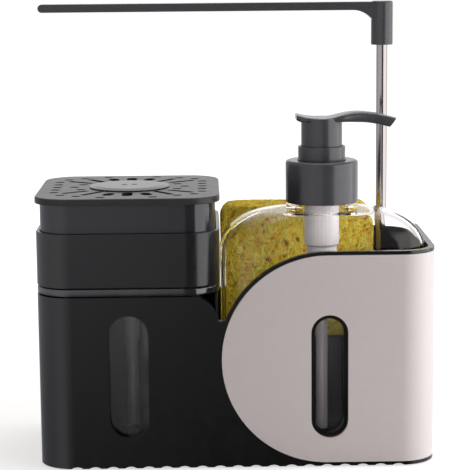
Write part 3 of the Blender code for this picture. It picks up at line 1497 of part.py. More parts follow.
def make_bottle_unit(kit, finishes):
    """The bottle lifts out of its bay, the pump off the bottle, and the head travels and turns."""
    bottle = kit.joint("bottle_lift_axis", (BOTTLE_X, BOTTLE_Y, STAND_Z))
    pump = kit.joint("pump_lift_axis", (BOTTLE_X, BOTTLE_Y, NECK_TOP_Z))
    stem = kit.joint("pump_travel_axis", (BOTTLE_X, BOTTLE_Y, CHAPLET_TOP_Z))
    head = kit.joint("head_swivel_axis", (BOTTLE_X, BOTTLE_Y, HEAD_JOIN_Z))
    make_bottle(kit, finishes["clear"], bottle)
    make_closure(kit, finishes, pump)
    make_pump_inside(kit, finishes, pump, stem)
    make_head(kit, finishes["black"], head)


def main():
    clear_scene()
    kit = Assembly("sink_caddy_soap_dispenser")
    finishes = {
        "black": finish("black moulded plastic", "#232425", 0.45),
        "gloss_black": finish("glossy black plastic", "#2b2c30", 0.18),
        "white": finish("off-white moulded plastic", "#ece8e5", 0.4),
        "clear": finish("clear plastic", "#f4f6f6", 0.05, transmission=1.0),
        "milky": finish("milky plastic", "#dcd9da", 0.35, transmission=0.3),
        "steel": finish("stainless steel", "#c9c7c4", 0.18, metallic=1.0),
        "rubber": finish("soft rubber", "#3a3a3a", 0.8),
        "nylon": finish("natural nylon", "#e6e2d8", 0.5),
        "sponge": finish("yellow cellulose sponge", "#d8c437", 0.95),
    }
    make_caddy(kit, finishes["black"])
    make_cover_panel(kit, finishes["white"])
    make_feet(kit, finishes["rubber"])
    make_sponge_rack(kit, finishes["black"])
    make_sponge(kit, finishes["sponge"])
    make_rod(kit, finishes["steel"])
    make_arm(kit, finishes["black"], finishes["nylon"])
    make_tank_unit(kit, finishes)
    make_bottle_unit(kit, finishes)


main()
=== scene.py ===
"""Looks of a sink caddy with a press-plate soap tank, a pump bottle, a sponge and a towel arm.

Metres, +Z up, the front faces -Y. Each visible piece stands where its solid stands.
"""

import json
import math
from collections import namedtuple

import bmesh
import bpy
from mathutils import Euler, Matrix, Vector, noise


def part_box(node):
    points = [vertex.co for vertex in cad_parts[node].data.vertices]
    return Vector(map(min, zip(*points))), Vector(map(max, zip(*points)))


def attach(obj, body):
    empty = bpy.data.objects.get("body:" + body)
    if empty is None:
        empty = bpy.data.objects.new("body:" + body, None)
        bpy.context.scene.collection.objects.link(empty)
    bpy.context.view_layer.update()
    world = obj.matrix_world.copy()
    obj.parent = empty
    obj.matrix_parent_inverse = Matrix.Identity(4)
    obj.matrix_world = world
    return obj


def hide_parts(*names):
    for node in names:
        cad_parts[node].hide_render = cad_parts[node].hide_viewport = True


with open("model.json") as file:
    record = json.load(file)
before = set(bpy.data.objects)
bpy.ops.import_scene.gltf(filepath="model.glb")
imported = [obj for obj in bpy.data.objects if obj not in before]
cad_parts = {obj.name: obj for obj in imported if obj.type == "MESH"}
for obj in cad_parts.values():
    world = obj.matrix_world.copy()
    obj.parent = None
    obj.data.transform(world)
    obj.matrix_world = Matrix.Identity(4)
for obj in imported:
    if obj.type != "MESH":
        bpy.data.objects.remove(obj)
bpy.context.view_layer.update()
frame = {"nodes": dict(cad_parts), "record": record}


Place = namedtuple("Place", "low high middle half")


def place(node):
    """Lowest corner, highest corner, middle and half size of a node."""
    low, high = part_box(node)
    return Place(low, high, (low + high) / 2, (high - low) / 2)


# Where the solids stand
CADDY = place("caddy_body")
PANEL = place("cover_panel")
RACK = place("sponge_rack")
SPONGE = place("sponge")
ROD = place("towel_rod")
ARM = place("towel_arm")
TANK = place("soap_tank")
COLLAR = place("tank_collar")
SKIRT = place("press_skirt")
PLATE = place("press_plate")
DISC = place("outlet_disc")
BOTTLE = place("lotion_bottle")
CLOSURE = place("bottle_closure")
CHAPLET = place("pump_chaplet")
HEAD = place("pump_head")

# Clearances, and how far a cutter runs past what it cuts
FIT = 0.0003
OVERRUN = 0.004
WELD = 0.000002

# Facets of curved surfaces
QUARTER_STEPS = 20
SMALL_QUARTER_STEPS = 6
FILLET_STEPS = 5
TURN_STEPS = 112
SMOOTH_ANGLE = math.radians(32)
BEVEL_ANGLE = math.radians(40)

# Caddy
CORNER_R = 0.020
BACK_RIGHT_CORNER_R = 0.008
LOW_RIM_Z = 0.0988
RIM_ARC_R = 0.0155
VALLEY_Z = 0.0848
VALLEY_WIDTH = 0.0037
WALL = 0.0022
THICK_WALL = 0.0036
DIVIDER_THICKNESS = 0.0016
FLOOR_TOP_Z = 0.0080
FLOOR_UNDER_Z = 0.0056
CROSS_WALL = 0.0020
CROSS_WALL_TOP_Z = 0.0615
INNER_CORNER_R = 0.0025
TANK_BAY_HALF = 0.0488
TANK_BAY_CORNER_R = 0.0175
CADDY_EDGE_R = 0.0005
SCALLOP_PITCH = 0.0101
SCALLOP_WIDTH = 0.0066
SCALLOP_RISE = 0.0010
SOCKET_R = 0.0062
SOCKET_TOP_Z = 0.068
DRAIN_WIDTH = 0.004
DRAIN_LENGTH = 0.020
DRAINS = 4

# Cover panel and the view windows
PANEL_THICKNESS = 0.0018
PANEL_WRAP = 0.070
PANEL_EDGE_R = 0.0008
EDGING = 0.0021
WINDOW_WIDTH = 0.0221
WINDOW_HEIGHT = 0.0704
WINDOW_FOOT_Z = 0.0178
PANEL_WINDOW_WIDTH = 0.0208
PANEL_WINDOW_HEIGHT = 0.0707
PANEL_WINDOW_FOOT_Z = 0.0168
PANEL_WINDOW_FROM_RIGHT = 0.0608
WINDOW_BORDER = 0.00225
WINDOW_LIP_WALL = 0.0016
WINDOW_LIP_DEPTH = 0.0040

# Sponge rack
RACK_THICKNESS = 0.0024
RACK_SLOT_WIDTH = 0.004
RACK_SLOT_LENGTH = 0.022
RACK_SLOTS = 6
RACK_EDGE_R = 0.0005

# Sponge and its pores. An edge is where a pore begins and where it is deep, in the noise of its cell. A
# shade is painted shade: how much the colour darkens deep in a wide or a fine pore
SPONGE_CORNER_R = 0.009
SPONGE_EDGE_R = 0.0045
SPONGE_GRID = 0.0008
PORE_SEED = 7
PORE_LENGTH = 0.0062
PORE_WIDTH = 0.0034
PORE_DEPTH = 0.0009
PORE_EDGE = (0.04, 0.62)
PORE_PAINTED_SHADE = 0.75
PORE_LEAN = math.radians(38)
PORE_BEND = 0.9
FINE_PORE = 0.0022
FINE_DEPTH = 0.0003
FINE_EDGE = (0.05, 0.7)
FINE_PAINTED_SHADE = 0.3
SPONGE_SWELL = 0.0003
SPONGE_RELIEF = 0.0005
# How far the pores' painted shade pulls the sponge's colour down its tones
SPONGE_PIT_PAINTED_SHADE = 0.24
SPONGE_CLOUD_MM = 6
SPONGE_CLOUD = 0.6
SPONGE_SWELL_PITCH = 0.028
SPONGE_BEND_PITCH = 0.009

# Rod and arm
BOSS_R = 0.0065
BOSS_EDGE_R = 0.0012
BOSS_ROOF = 0.0021
ARM_HEIGHT = 0.0048
ARM_DEPTH = 0.0110
ARM_STEP = 0.0005
ARM_EDGE_R = 0.0007
GUSSET_RUN = 0.0115
GUSSET_DROP = 0.0053
BUSH_WALL = 0.0013
BUSH_LENGTH = 0.016

# Soap tank
TANK_SIDE_HALF = 0.0485
TANK_CORNER_R = 0.0172
TANK_WALL = 0.0020
TANK_FLOOR = 0.0024
TANK_EDGE_R = 0.003
FLANGE_HEIGHT = 0.0046
FLANGE_EDGE_R = 0.0012
SEAT_WIDTH = 0.0020
SEAT_DEPTH = 0.0015

# Collar, skirt, plate and disc
COLLAR_CORNER_R = 0.0196
COLLAR_FOOT_Z = 0.1040
COLLAR_EDGE_R = 0.0006
SLIDE_FIT = 0.0004
DECK_TOP_Z = 0.1064
PLUG_HALF = 0.0459
PLUG_WALL = 0.0017
SKIRT_CORNER_R = 0.01715
SKIRT_WALL = 0.0018
SKIRT_WEB = 0.0095
SKIRT_WEB_THICKNESS = 0.0018
PLATE_CORNER_R = 0.0185
PLATE_THICKNESS = 0.0022
PLATE_RIM_WALL = 0.0017
PLATE_EDGE_R = 0.0009
HOLE_WIDTH = 0.0036
WIDE_HOLE_WIDTH = 0.0060
DASH_LENGTH = 0.0054
HOLE_EDGE_R = 0.00012
DISC_HEIGHT = 0.0011
DISC_SLOPE = 0.0045
DISC_DOME_R = 0.030
SPIGOT_R = 0.0048
STEM_SOCKET_R = 0.0035
OUTLET_WIDTH = 0.0028
OUTLET_LENGTH = 0.0036
OUTLET_WEB = 0.0022
PRESS_CYLINDER_R = 0.0080

# Lotion bottle
BOTTLE_WALL = 0.0016
BOTTLE_FLOOR = 0.0024
BOTTLE_CORNER_R = 0.021
BOTTLE_EDGE_R = 0.004
SHOULDER_FOOT_Z = 0.1205
SHOULDER_TOP_Z = 0.1428
SHOULDER_RUN_X = 0.0310
SHOULDER_RUN_Y = 0.0078
SHOULDER_STEPS = 22
BEAD_R = 0.0204
BEAD_TOP_Z = 0.1464
BEAD_EDGE_R = 0.0010
NECK_R = 0.0168
NECK_BORE_R = 0.0146

# Pump
CLOSURE_WALL = 0.0018
CLOSURE_EDGE_R = 0.0018
CLOSURE_SHELF_Z = 0.1633
CHAPLET_R = 0.0135
CHAPLET_BORE_R = 0.0121
CHAPLET_FLARE = 0.0004
CHAPLET_FLANGE = 0.0022
CHAPLET_FLOOR = 0.0014
STEM_HOLE_R = 0.0044
HEAD_SKIRT_R = 0.0117
HEAD_SKIRT_WALL = 0.0016
HEAD_ROOF_Z = 0.1905
HEAD_JOIN_Z = 0.1950
HUB_R = 0.0062
HUB_FOOT_Z = 0.1800
STEM_R = 0.0043
SOCKET_ROOF_Z = 0.1890
SPOUT_THICKNESS = 0.0060
SPOUT_HALF_WIDTH = 0.0098
SPOUT_SECTIONS = 72

# Feet
FOOT_EDGE_R = 0.0012

# Materials: size of the patches in grains, and the part of the noise that their gloss and tint go over
PATCH_GRAINS = 9
GLOSS_PATCHES = (0.35, 0.65)
TINT_PATCHES = (0.3, 0.7)

# Strands on the sponge: spacing in millimetres, lean in degrees, width in the noise, and brightness.
# Then the sponge's colour from its pores, darkened with painted shade, up to its strands
STRAND_STRETCH = 0.42
STRAND_WINDING = 0.6
SPONGE_STRANDS = (
    (6.0, 24, 0.030, 0.9),
    (4.4, -24, 0.026, 0.8),
    (2.6, 42, 0.040, 0.55),
)
SPONGE_TONES = (
    (0.0, "#8a5c06"),
    (0.17, "#e8ac1a"),
    (0.29, "#ffd82e"),
    (0.60, "#ffea48"),
    (1.0, "#fff36c"),
)

# Holes of the press plate in one quarter, as shares of half its size
SPOKE_SHARES = (
    (0.4, 0.54, 0.885, False),
    (0.6, 0.48, 0.835, False),
    (0.8, 0.56, 0.76, True),
    (1.0, 0.49, 0.77, True),
)
DASH_SHARES = (
    (0.81, 0.0),
    (0.81, 0.22),
    (0.81, 0.44),
    (0.615, 0.0),
    (0.53, 0.21),
    (0.725, 0.655),
    (0.545, 0.75),
    (0.28, 0.865),
)

# Spout sections from thumb end to tip: place along it, top below the crest, thickness and width
SPOUT_SHARES = (
    (0.00, 0.22, 0.50, 0.80),
    (0.03, 0.28, 0.58, 0.92),
    (0.09, 0.42, 0.50, 1.00),
    (0.17, 0.52, 0.42, 1.00),
    (0.26, 0.57, 0.38, 1.00),
    (0.36, 0.47, 0.46, 1.00),
    (0.45, 0.24, 0.70, 0.92),
    (0.54, 0.06, 0.90, 0.78),
    (0.63, 0.00, 1.00, 0.66),
    (0.72, 0.06, 0.98, 0.56),
    (0.81, 0.20, 0.94, 0.50),
    (0.90, 0.40, 0.90, 0.47),
    (1.00, 0.66, 0.84, 0.45),
)
SPOUT_TIP_SLANT_SHARE = 0.065
SPOUT_SLANT_START = 0.5
SPOUT_ROUNDING = 0.45

# Camera of the photograph: where it stands, how it is turned, and its lens
CAMERA_PLACE = (-0.01565, -0.983, 0.2827)
CAMERA_PITCH = 9.1
CAMERA_YAW = -1.0
CAMERA_ROLL = -0.5
LENS_MM = 130.4
SENSOR_MM = 36

# Studio: soft boxes as (name, middle, width, height, power), turned to this height on the axis
AIM_Z = 0.10
SOFT_BOXES = (
    ("right_box", (0.765044, -0.233897, 0.22), 1.20, 0.90, 7.8),
    ("top_box", (0.10, 0.25, 1.20), 0.90, 0.70, 6.0),
)
WHITE = "#ffffff"
AMBIENT = "#61524f"
# What gloss mirrors, by degrees from the front towards the right: on rays that fall, on level ones, and
# the slopes of a ray between which the first fades into the second
MIRRORED_LOW_TONES = (
    (-175, "#ffffff"),
    (-150, "#9a9ba1"),
    (-118, "#9a9ba2"),
    (-76, "#bbbcc4"),
    (-46, "#ecedf6"),
    (-30, "#e6e7f0"),
    (-18, "#909196"),
    (-6, "#7e7e81"),
    (-2, "#202020"),
    (1, "#141414"),
    (98, "#1a1a1a"),
    (117, "#ffffff"),
)
MIRRORED_HIGH_TONES = (
    (-175, "#ffffff"),
    (-150, "#b4b5bc"),
    (-118, "#d8d9e1"),
    (-76, "#f2f3fb"),
    (-46, "#ffffff"),
    (-30, "#fbfcff"),
    (-18, "#eeeff6"),
    (-8, "#e4e5eb"),
    (-3, "#d4d4d9"),
    (1, "#949496"),
    (6, "#5c5c5e"),
    (12, "#48484a"),
    (98, "#3a3a3b"),
    (117, "#ffffff"),
)
MIRRORED_HEIGHTS = (-0.27, -0.18)

# Floor, and how its glow in view rises with the distance from the object
FLOOR_HALF = 3.0
FLOOR_TONE = "#ececec"
FLOOR_GLOW_REACH = (0.20, 0.60)
FLOOR_GLOW = (0.60, 1.0)

# Derived places
PANEL_R = PANEL.half.z
PANEL_X = PANEL.low.x + PANEL_R
PANEL_Z = PANEL.middle.z
PANEL_WINDOW_X = CADDY.high.x - PANEL_WINDOW_FROM_RIGHT
BAY_RIGHT_X = CADDY.high.x - THICK_WALL
SLOT_BACK_Y = CADDY.high.y - WALL
WINDOW_LIP_Y = CADDY.low.y + THICK_WALL + WINDOW_LIP_DEPTH
DIVIDER_LEFT_X = TANK.middle.x + TANK_BAY_HALF
DIVIDER_RIGHT_X = DIVIDER_LEFT_X + DIVIDER_THICKNESS
CROSS_WALL_Y = BOTTLE.high.y + FIT
SLOT_FRONT_Y = CROSS_WALL_Y + CROSS_WALL
TANK_X = TANK.middle.x
TANK_Y = TANK.middle.y
TANK_CENTRE = (TANK_X, TANK_Y)
PUMP_Y = CLOSURE.middle.y
PUMP_CENTRE = (CLOSURE.middle.x, PUMP_Y)
ROD_X = ROD.middle.x
ROD_Y = ROD.middle.y
ROD_CENTRE = (ROD_X, ROD_Y)


def linear(channel):
    return channel / 12.92 if channel <= 0.04045 else ((channel + 0.055) / 1.055) ** 2.4


def srgb(code):
    """Linear colour of an sRGB hex code."""
    return (*[linear(int(code[i : i + 2], 16) / 255) for i in (1, 3, 5)], 1)


def feed(tree, node, values):
    """Gives values to a node's sockets or else its attributes. An output among them is linked."""
    for name, value in values.items():
        if isinstance(value, bpy.types.NodeSocket):
            tree.links.new(value, node.inputs[name])
        elif isinstance(name, int) or name in node.inputs:
            node.inputs[name].default_value = value
        else:
            setattr(node, name, value)
    return node


def add(tree, kind, values):
    """Adds a node."""
    return feed(tree, tree.nodes.new(kind), values)


def calc(tree, operation, *values):
    """Result of a math node."""
    return add(tree, "ShaderNodeMath", {"operation": operation, **dict(enumerate(values))}).outputs[0]


def mapped(tree, value, before, after=(0.0, 1.0), interpolation="LINEAR"):
    """A value taken from one range to another."""
    ranges = zip(("From Min", "From Max", "To Min", "To Max"), (*before, *after))
    values = {"interpolation_type": interpolation, "Value": value, **dict(ranges)}
    return add(tree, "ShaderNodeMapRange", values).outputs["Result"]


def cells(tree, where, size_mm, detail, winding=0.0):
    """Noise with cells of this size."""
    values = {"Vector": where, "Scale": 1000 / size_mm, "Detail": detail, "Distortion": winding}
    return add(tree, "ShaderNodeTexNoise", values).outputs["Fac"]


def relief(tree, height, depth):
    """Normal of a surface that rises this far where the height is 1."""
    values = {"Strength": 1, "Distance": depth, "Height": height}
    return add(tree, "ShaderNodeBump", values).outputs["Normal"]


def ramp(tree, share, stops):
    """Colour between stops of (share, sRGB code), which are listed by rising share."""
    node = add(tree, "ShaderNodeValToRGB", {"Fac": share})
    elements = node.color_ramp.elements
    elements.remove(elements[1])
    for index, (position, code) in enumerate(stops):
        element = elements.new(position) if index else elements[0]
        element.position = position
        element.color = srgb(code)
    return node.outputs["Color"]


def new_material(name):
    """A material with only a Principled shader, and its node tree, shader and object coordinates."""
    material = bpy.data.materials.new(name)
    material.use_nodes = True
    tree = material.node_tree
    where = add(tree, "ShaderNodeTexCoord", {}).outputs["Object"]
    return material, tree, tree.nodes["Principled BSDF"], where


def grained(name, grain_mm, relief_mm, rough, tones=None, stretch=(1, 1, 1), **sockets):
    """Material with a fine relief, a patchy gloss and, where it has two close tones, a cloudy colour."""
    material, tree, shader, where = new_material(name)
    along = add(tree, "ShaderNodeMapping", {"Vector": where, "Scale": stretch}).outputs["Vector"]
    fine = cells(tree, along, grain_mm, detail=3)
    patches = cells(tree, along, PATCH_GRAINS * grain_mm, detail=4)
    values = {key.replace("_", " "): value for key, value in sockets.items()}
    values["Normal"] = relief(tree, fine, relief_mm / 1000)
    values["Roughness"] = mapped(tree, patches, GLOSS_PATCHES, rough)
    if tones:
        values["Base Color"] = ramp(tree, patches, zip(TINT_PATCHES, tones))
    feed(tree, shader, values)
    return material


def satin_abs(name, dark, light, rough=(0.20, 0.23), ior=1.52):
    """Injection-moulded ABS off a spark-eroded tool: a fine satin that lets wide highlights fade softly."""
    return grained(name, 0.5, 0.002, rough, (dark, light), IOR=ior)


def strand_layer(tree, where, cell_mm, lean, width):
    """Thin winding strands that lean over: 1 on a strand, 0 beside it."""
    turn = {"Rotation": (0, math.radians(lean), 0), "Scale": (1, 1, STRAND_STRETCH)}
    along = add(tree, "ShaderNodeMapping", {"Vector": where, **turn}).outputs["Vector"]
    waves = cells(tree, along, cell_mm, detail=1, winding=STRAND_WINDING)
    beside = calc(tree, "ABSOLUTE", calc(tree, "SUBTRACT", waves, 0.5))
    return mapped(tree, beside, (0.0, width), (1.0, 0.0), "SMOOTHSTEP")


def cellulose():
    """Coarse cellulose sponge: bright yellow strands over pores darkened to olive-brown with painted shade.
    """
    material, tree, shader, where = new_material("yellow cellulose sponge")
    strands = 0.0
    for cell_mm, lean, width, weight in SPONGE_STRANDS:
        layer = strand_layer(tree, where, cell_mm, lean, width)
        strands = calc(tree, "MAXIMUM", strands, calc(tree, "MULTIPLY", layer, weight))
    # The pores' painted shade, kept on the mesh, pulls the colour down towards olive-brown
    painted_pit_shade = add(tree, "ShaderNodeAttribute", {"attribute_name": "painted_pit_shade"}).outputs["Fac"]
    shade = calc(tree, "MULTIPLY_ADD", painted_pit_shade, -SPONGE_PIT_PAINTED_SHADE, strands)
    sway = cells(tree, where, SPONGE_CLOUD_MM, detail=2)
    cloud = calc(tree, "MULTIPLY_ADD", sway, SPONGE_CLOUD, shade)
    values = {
        "Base Color": ramp(tree, cloud, SPONGE_TONES),
        "Normal": relief(tree, cloud, SPONGE_RELIEF),
        "Roughness": 0.85,
        "Subsurface Weight": 0.15,
        "Subsurface Scale": 0.002,
    }
    feed(tree, shader, values)
    return material


def make_finishes():
    """Materials by the slot that they fill, or by the piece that has them.

    A grained one has its name, grain and relief in millimetres, range of roughness, and two close tones.
    """
    return {
        "black_plastic": satin_abs("satin black ABS", "#0b0c0b", "#0f100f"),
        "collar": satin_abs("satin soft-black ABS", "#1f1f20", "#232325"),
        "plate": satin_abs("matt soft-black ABS", "#3b3a3c", "#413f41", rough=(0.30, 0.34), ior=1.33),
        "disc": satin_abs("satin warm-grey ABS", "#35302e", "#3b3633"),
        # ABS off a polished tool: streaks of the studio stand sharp in the sleeve under the plate
        "gloss_black_plastic": grained(
            "polished black ABS", 6, 0.006, (0.10, 0.16), ("#2a2b31", "#2e2f36"), IOR=1.54
        ),
        # Moulded polypropylene of the pump and the arm: a grey-black with a waxy highlight
        "charcoal": grained(
            "charcoal polypropylene", 0.8, 0.002, (0.20, 0.24), ("#4a4b50", "#4f5055"), IOR=1.50
        ),
        # Off-white ABS with a faint warm cast and a satin skin
        "white_plastic": grained(
            "off-white ABS", 0.4, 0.001, (0.37, 0.40), ("#e5dfde", "#e7e1e0"), IOR=1.52
        ),
        # Smoke-tinted moulded polystyrene: dark inside, with bright bent edges where it cooled in ripples
        "tank": grained(
            "smoky polystyrene", 14, 0.01, (0.01, 0.03), Base_Color=srgb("#cdd0cf"), IOR=1.26,
            Transmission_Weight=1.0, Coat_Weight=0.45, Coat_IOR=1.5, Coat_Roughness=0.03,
        ),
        # The tank's flange, etched in the tool: an even grey haze that still mirrors the studio
        "flange": grained(
            "frosted smoky polystyrene", 3, 0.005, (0.10, 0.14), ("#36373a", "#3d3e41"), IOR=1.6,
            Transmission_Weight=0.6, Coat_Weight=0.35, Coat_IOR=1.8, Coat_Roughness=0.04,
        ),
        # Blown PET: its thin wall hardly bends what stands behind, and mirrors the studio faintly
        "clear_plastic": grained(
            "blown clear PET", 18, 0.004, (0.0, 0.02), Base_Color=srgb("#fdfcfc"), IOR=1.06,
            Transmission_Weight=1.0, Coat_Weight=0.3, Coat_IOR=1.5, Coat_Roughness=0.02,
        ),
        # Natural polypropylene: it lets light in but shows no clear picture behind
        "milky_plastic": grained(
            "natural polypropylene", 1.2, 0.01, (0.28, 0.36), ("#d9d3d5", "#dfdadb"), IOR=1.49,
            Transmission_Weight=0.25, Subsurface_Weight=0.3, Subsurface_Scale=0.003,
        ),
        # Drawn and polished stainless rod: fine lengthwise lines under a mirror finish
        "steel": grained(
            "polished stainless steel", 0.35, 0.002, (0.10, 0.16), stretch=(1, 1, 0.02),
            Base_Color=srgb("#a29c99"), Metallic=1.0,
        ),
        # Moulded rubber: matt, with a dusty bloom
        "rubber": grained("soft rubber", 0.5, 0.02, (0.65, 0.8), ("#2a2a2a", "#333333")),
        # Turned nylon: a waxy cream with faint rings from the tool
        "nylon": grained(
            "natural nylon", 0.4, 0.01, (0.35, 0.45), ("#ded8c8", "#e6e1d4"), stretch=(1, 1, 3)
        ),
        "sponge": cellulose(),
    }


def arc(centre, radius, start, end, steps=QUARTER_STEPS):
    """Points of an arc from angle start to end, in degrees."""
    points = []
    for step in range(steps + 1):
        turn = math.radians(start + (end - start) * step / steps)
        points.append((centre[0] + radius * math.cos(turn), centre[1] + radius * math.sin(turn)))
    return points


def rounded_rect(low, high, radii, steps=QUARTER_STEPS):
    """Anticlockwise outline between two corners. The radii start at its right-top corner."""
    if not isinstance(radii, tuple):
        radii = (radii,) * 4
    outline = []
    for quarter, radius in enumerate(radii):
        x = high[0] - radius if quarter in (0, 3) else low[0] + radius
        y = high[1] - radius if quarter in (0, 1) else low[1] + radius
        outline += arc((x, y), radius, 90 * quarter, 90 * quarter + 90, steps)
    return outline


def centred_rect(centre, half_x, half_y, radius):
    """Rounded outline about a centre."""
    low = (centre[0] - half_x, centre[1] - half_y)
    return rounded_rect(low, (centre[0] + half_x, centre[1] + half_y), radius)


def lifted(outline, z):
    return [(x, y, z) for x, y in outline]


def stadium(start, end, width, steps=SMALL_QUARTER_STEPS):
    """Outline of a slot with round ends."""
    heading = math.degrees(math.atan2(end[1] - start[1], end[0] - start[0]))
    outline = arc(end, width / 2, heading - 90, heading + 90, 2 * steps)
    return outline + arc(start, width / 2, heading + 90, heading + 270, 2 * steps)


def filleted(profile, closed=False):
    """Rounds the corners of a profile of (across, up, radius) points."""
    rounded = []
    count = len(profile)
    for i, (across, up, radius) in enumerate(profile):
        here = Vector((across, up))
        if radius == 0 or (not closed and i in (0, count - 1)):
            rounded.append((across, up))
            continue
        before = (Vector(profile[i - 1][:2]) - here).normalized()
        after = (Vector(profile[(i + 1) % count][:2]) - here).normalized()
        half = before.angle(after) / 2
        centre = here + (before + after).normalized() * radius / math.sin(half)
        start = here + before * radius / math.tan(half) - centre
        end = here + after * radius / math.tan(half) - centre
        first = math.degrees(math.atan2(start.y, start.x))
        sweep = (math.degrees(math.atan2(end.y, end.x)) - first + 180) % 360 - 180
        rounded += arc(centre, radius, first, first + sweep, FILLET_STEPS)
    return rounded


def new_object(name, data):
    obj = bpy.data.objects.new(name, data)
    bpy.context.scene.collection.objects.link(obj)
    return obj


def settled(obj):
    """Applies an object's modifiers and place to its mesh."""
    bpy.context.view_layer.update()
    graph = bpy.context.evaluated_depsgraph_get()
    mesh = bpy.data.meshes.new_from_object(obj.evaluated_get(graph), depsgraph=graph)
    mesh.transform(obj.matrix_world)
    name = obj.name
    bpy.data.objects.remove(obj, do_unlink=True)
    mesh.name = name
    return new_object(name, mesh)


def slab(name, outlines, low, high, axis="Z"):
    """Extrudes an outline, and any holes listed after it, from low to high along an axis."""
    curve = bpy.data.curves.new(name, "CURVE")
    curve.dimensions = "2D"
    curve.fill_mode = "BOTH"
    curve.extrude = (high - low) / 2
    for outline in outlines:
        spline = curve.splines.new("POLY")
        spline.points.add(len(outline) - 1)
        for point, (across, up) in zip(spline.points, outline):
            point.co = (across, up, 0, 1)
        spline.use_cyclic_u = True
    obj = new_object(name, curve)
    middle = (low + high) / 2
    obj.matrix_world = {
        "Z": Matrix.Translation((0, 0, middle)),
        "Y": Matrix.Translation((0, middle, 0)) @ Matrix.Rotation(math.pi / 2, 4, "X"),
        "X": Matrix(((0, 0, 1, middle), (1, 0, 0, 0), (0, 1, 0, 0), (0, 0, 0, 1))),
    }[axis]
    obj = settled(obj)
    obj.modifiers.new("weld", "WELD").merge_threshold = WELD
    return settled(obj)


def skinned(name, loops, ring=False):
    """Skins a row of loops with the same count of points. A ring closes on its first loop."""
    count = len(loops[0])
    rows = len(loops)
    faces = []
    for row in range(rows if ring else rows - 1):
        here = row * count
        after = (row + 1) % rows * count
        for i in range(count):
            j = (i + 1) % count
            faces.append((here + i, here + j, after + j, after + i))
    if not ring:
        faces.append(tuple(reversed(range(count))))
        faces.append(tuple(range((rows - 1) * count, rows * count)))
    mesh = bpy.data.meshes.new(name)
    mesh.from_pydata([point for loop in loops for point in loop], [], faces)
    return turned_out(new_object(name, mesh))


def turned_out(obj):
    """Points the faces of a closed mesh outwards."""
    bm = bmesh.new()
    bm.from_mesh(obj.data)
    bmesh.ops.remove_doubles(bm, verts=bm.verts, dist=WELD)
    bmesh.ops.recalc_face_normals(bm, faces=bm.faces)
    bm.to_mesh(obj.data)
    bm.free()
    return obj


def square_moulding(name, half, corner, profile, ring=False):
    """Runs a profile of (inset, z, radius) points round a rounded square about the tank's middle."""
    loops = []
    for inset, z in filleted(profile, ring):
        size = half - inset
        loops.append(lifted(centred_rect(TANK_CENTRE, size, size, max(corner - inset, FIT)), z))
    return skinned(name, loops, ring)


def turned(name, profile, centre, ring=False):
    """Turns a profile of (radius, z, fillet) points about a vertical axis."""
    loops = []
    for radius, z in filleted(profile, ring):
        loops.append(lifted(arc(centre, max(radius, WELD / 2), 0, 360, TURN_STEPS)[:-1], z))
    return skinned(name, loops, ring)


def drum(name, radius, low, high, centre, top_edge_r=0, foot_edge_r=0):
    """Upright cylinder with rounded edges."""
    profile = [(0, high, 0), (radius, high, top_edge_r), (radius, low, foot_edge_r), (0, low, 0)]
    return turned(name, profile, centre)


def combine(target, tool, operation):
    """Applies a Boolean and removes its tool."""
    modifier = target.modifiers.new("boolean", "BOOLEAN")
    modifier.operation = operation
    modifier.object = tool
    name = target.name
    result = settled(target)
    result.name = name
    bpy.data.objects.remove(tool, do_unlink=True)
    return result


def cut(target, tool):
    return combine(target, tool, "DIFFERENCE")


def keep(target, tool):
    return combine(target, tool, "INTERSECT")


def join(target, tool):
    return combine(target, tool, "UNION")


def soften(obj, width, segments=2):
    """Rounds the sharp edges."""
    bevel = obj.modifiers.new("rounded edges", "BEVEL")
    bevel.width = width
    bevel.segments = segments
    bevel.limit_method = "ANGLE"
    bevel.angle_limit = BEVEL_ANGLE
    return settled(obj)


def dress(obj, material, body, slot, *nodes):
    """Gives a piece its material, shades it, lets it ride on a body and stand for its nodes."""
    obj.data.materials.clear()
    obj.data.materials.append(material)
    obj.data.shade_smooth()
    obj.data.set_sharp_from_angle(angle=SMOOTH_ANGLE)
    flat = obj.modifiers.new("flat faces stay flat", "WEIGHTED_NORMAL")
    flat.keep_sharp = True
    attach(obj, body)
    if nodes:
        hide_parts(*nodes)
    return obj


def caddy_plan(inset):
    """Plan outline of the caddy, drawn in by inset."""
    low = (CADDY.low.x + inset, CADDY.low.y + inset)
    high = (CADDY.high.x - inset, CADDY.high.y - inset)
    back_right = max(BACK_RIGHT_CORNER_R - inset, FIT)
    others = CORNER_R - inset
    return rounded_rect(low, high, (back_right, others, others, others))


def caddy_front_view():
    """Low rim, arc, valley, then up round the D to the high rim."""
    left = CADDY.low.x - OVERRUN
    right = CADDY.high.x + OVERRUN
    rim_r = PANEL_R + EDGING
    meet = math.degrees(math.asin((VALLEY_Z - PANEL_Z) / rim_r))
    meet_x = PANEL_X - rim_r * math.cos(math.radians(meet))
    arc_z = LOW_RIM_Z - RIM_ARC_R
    leave = math.degrees(math.asin((VALLEY_Z - arc_z) / RIM_ARC_R))
    arc_x = meet_x - VALLEY_WIDTH - RIM_ARC_R * math.cos(math.radians(leave))
    outline = [(left, CADDY.low.z), (right, CADDY.low.z), (right, CADDY.high.z)]
    outline += arc((PANEL_X, PANEL_Z), rim_r, 90, 180 - meet, 2 * QUARTER_STEPS)
    outline += arc((arc_x, arc_z), RIM_ARC_R, leave, 90)
    return outline + [(left, LOW_RIM_Z)]


def panel_outline(grow):
    """Front view of the D, whose straight side runs off past the right edge."""
    radius = PANEL_R + grow
    outline = arc((PANEL_X, PANEL_Z), radius, 90, 270, 3 * QUARTER_STEPS)
    end = CADDY.high.x + OVERRUN
    return outline + [(end, PANEL_Z - radius), (end, PANEL_Z + radius)]


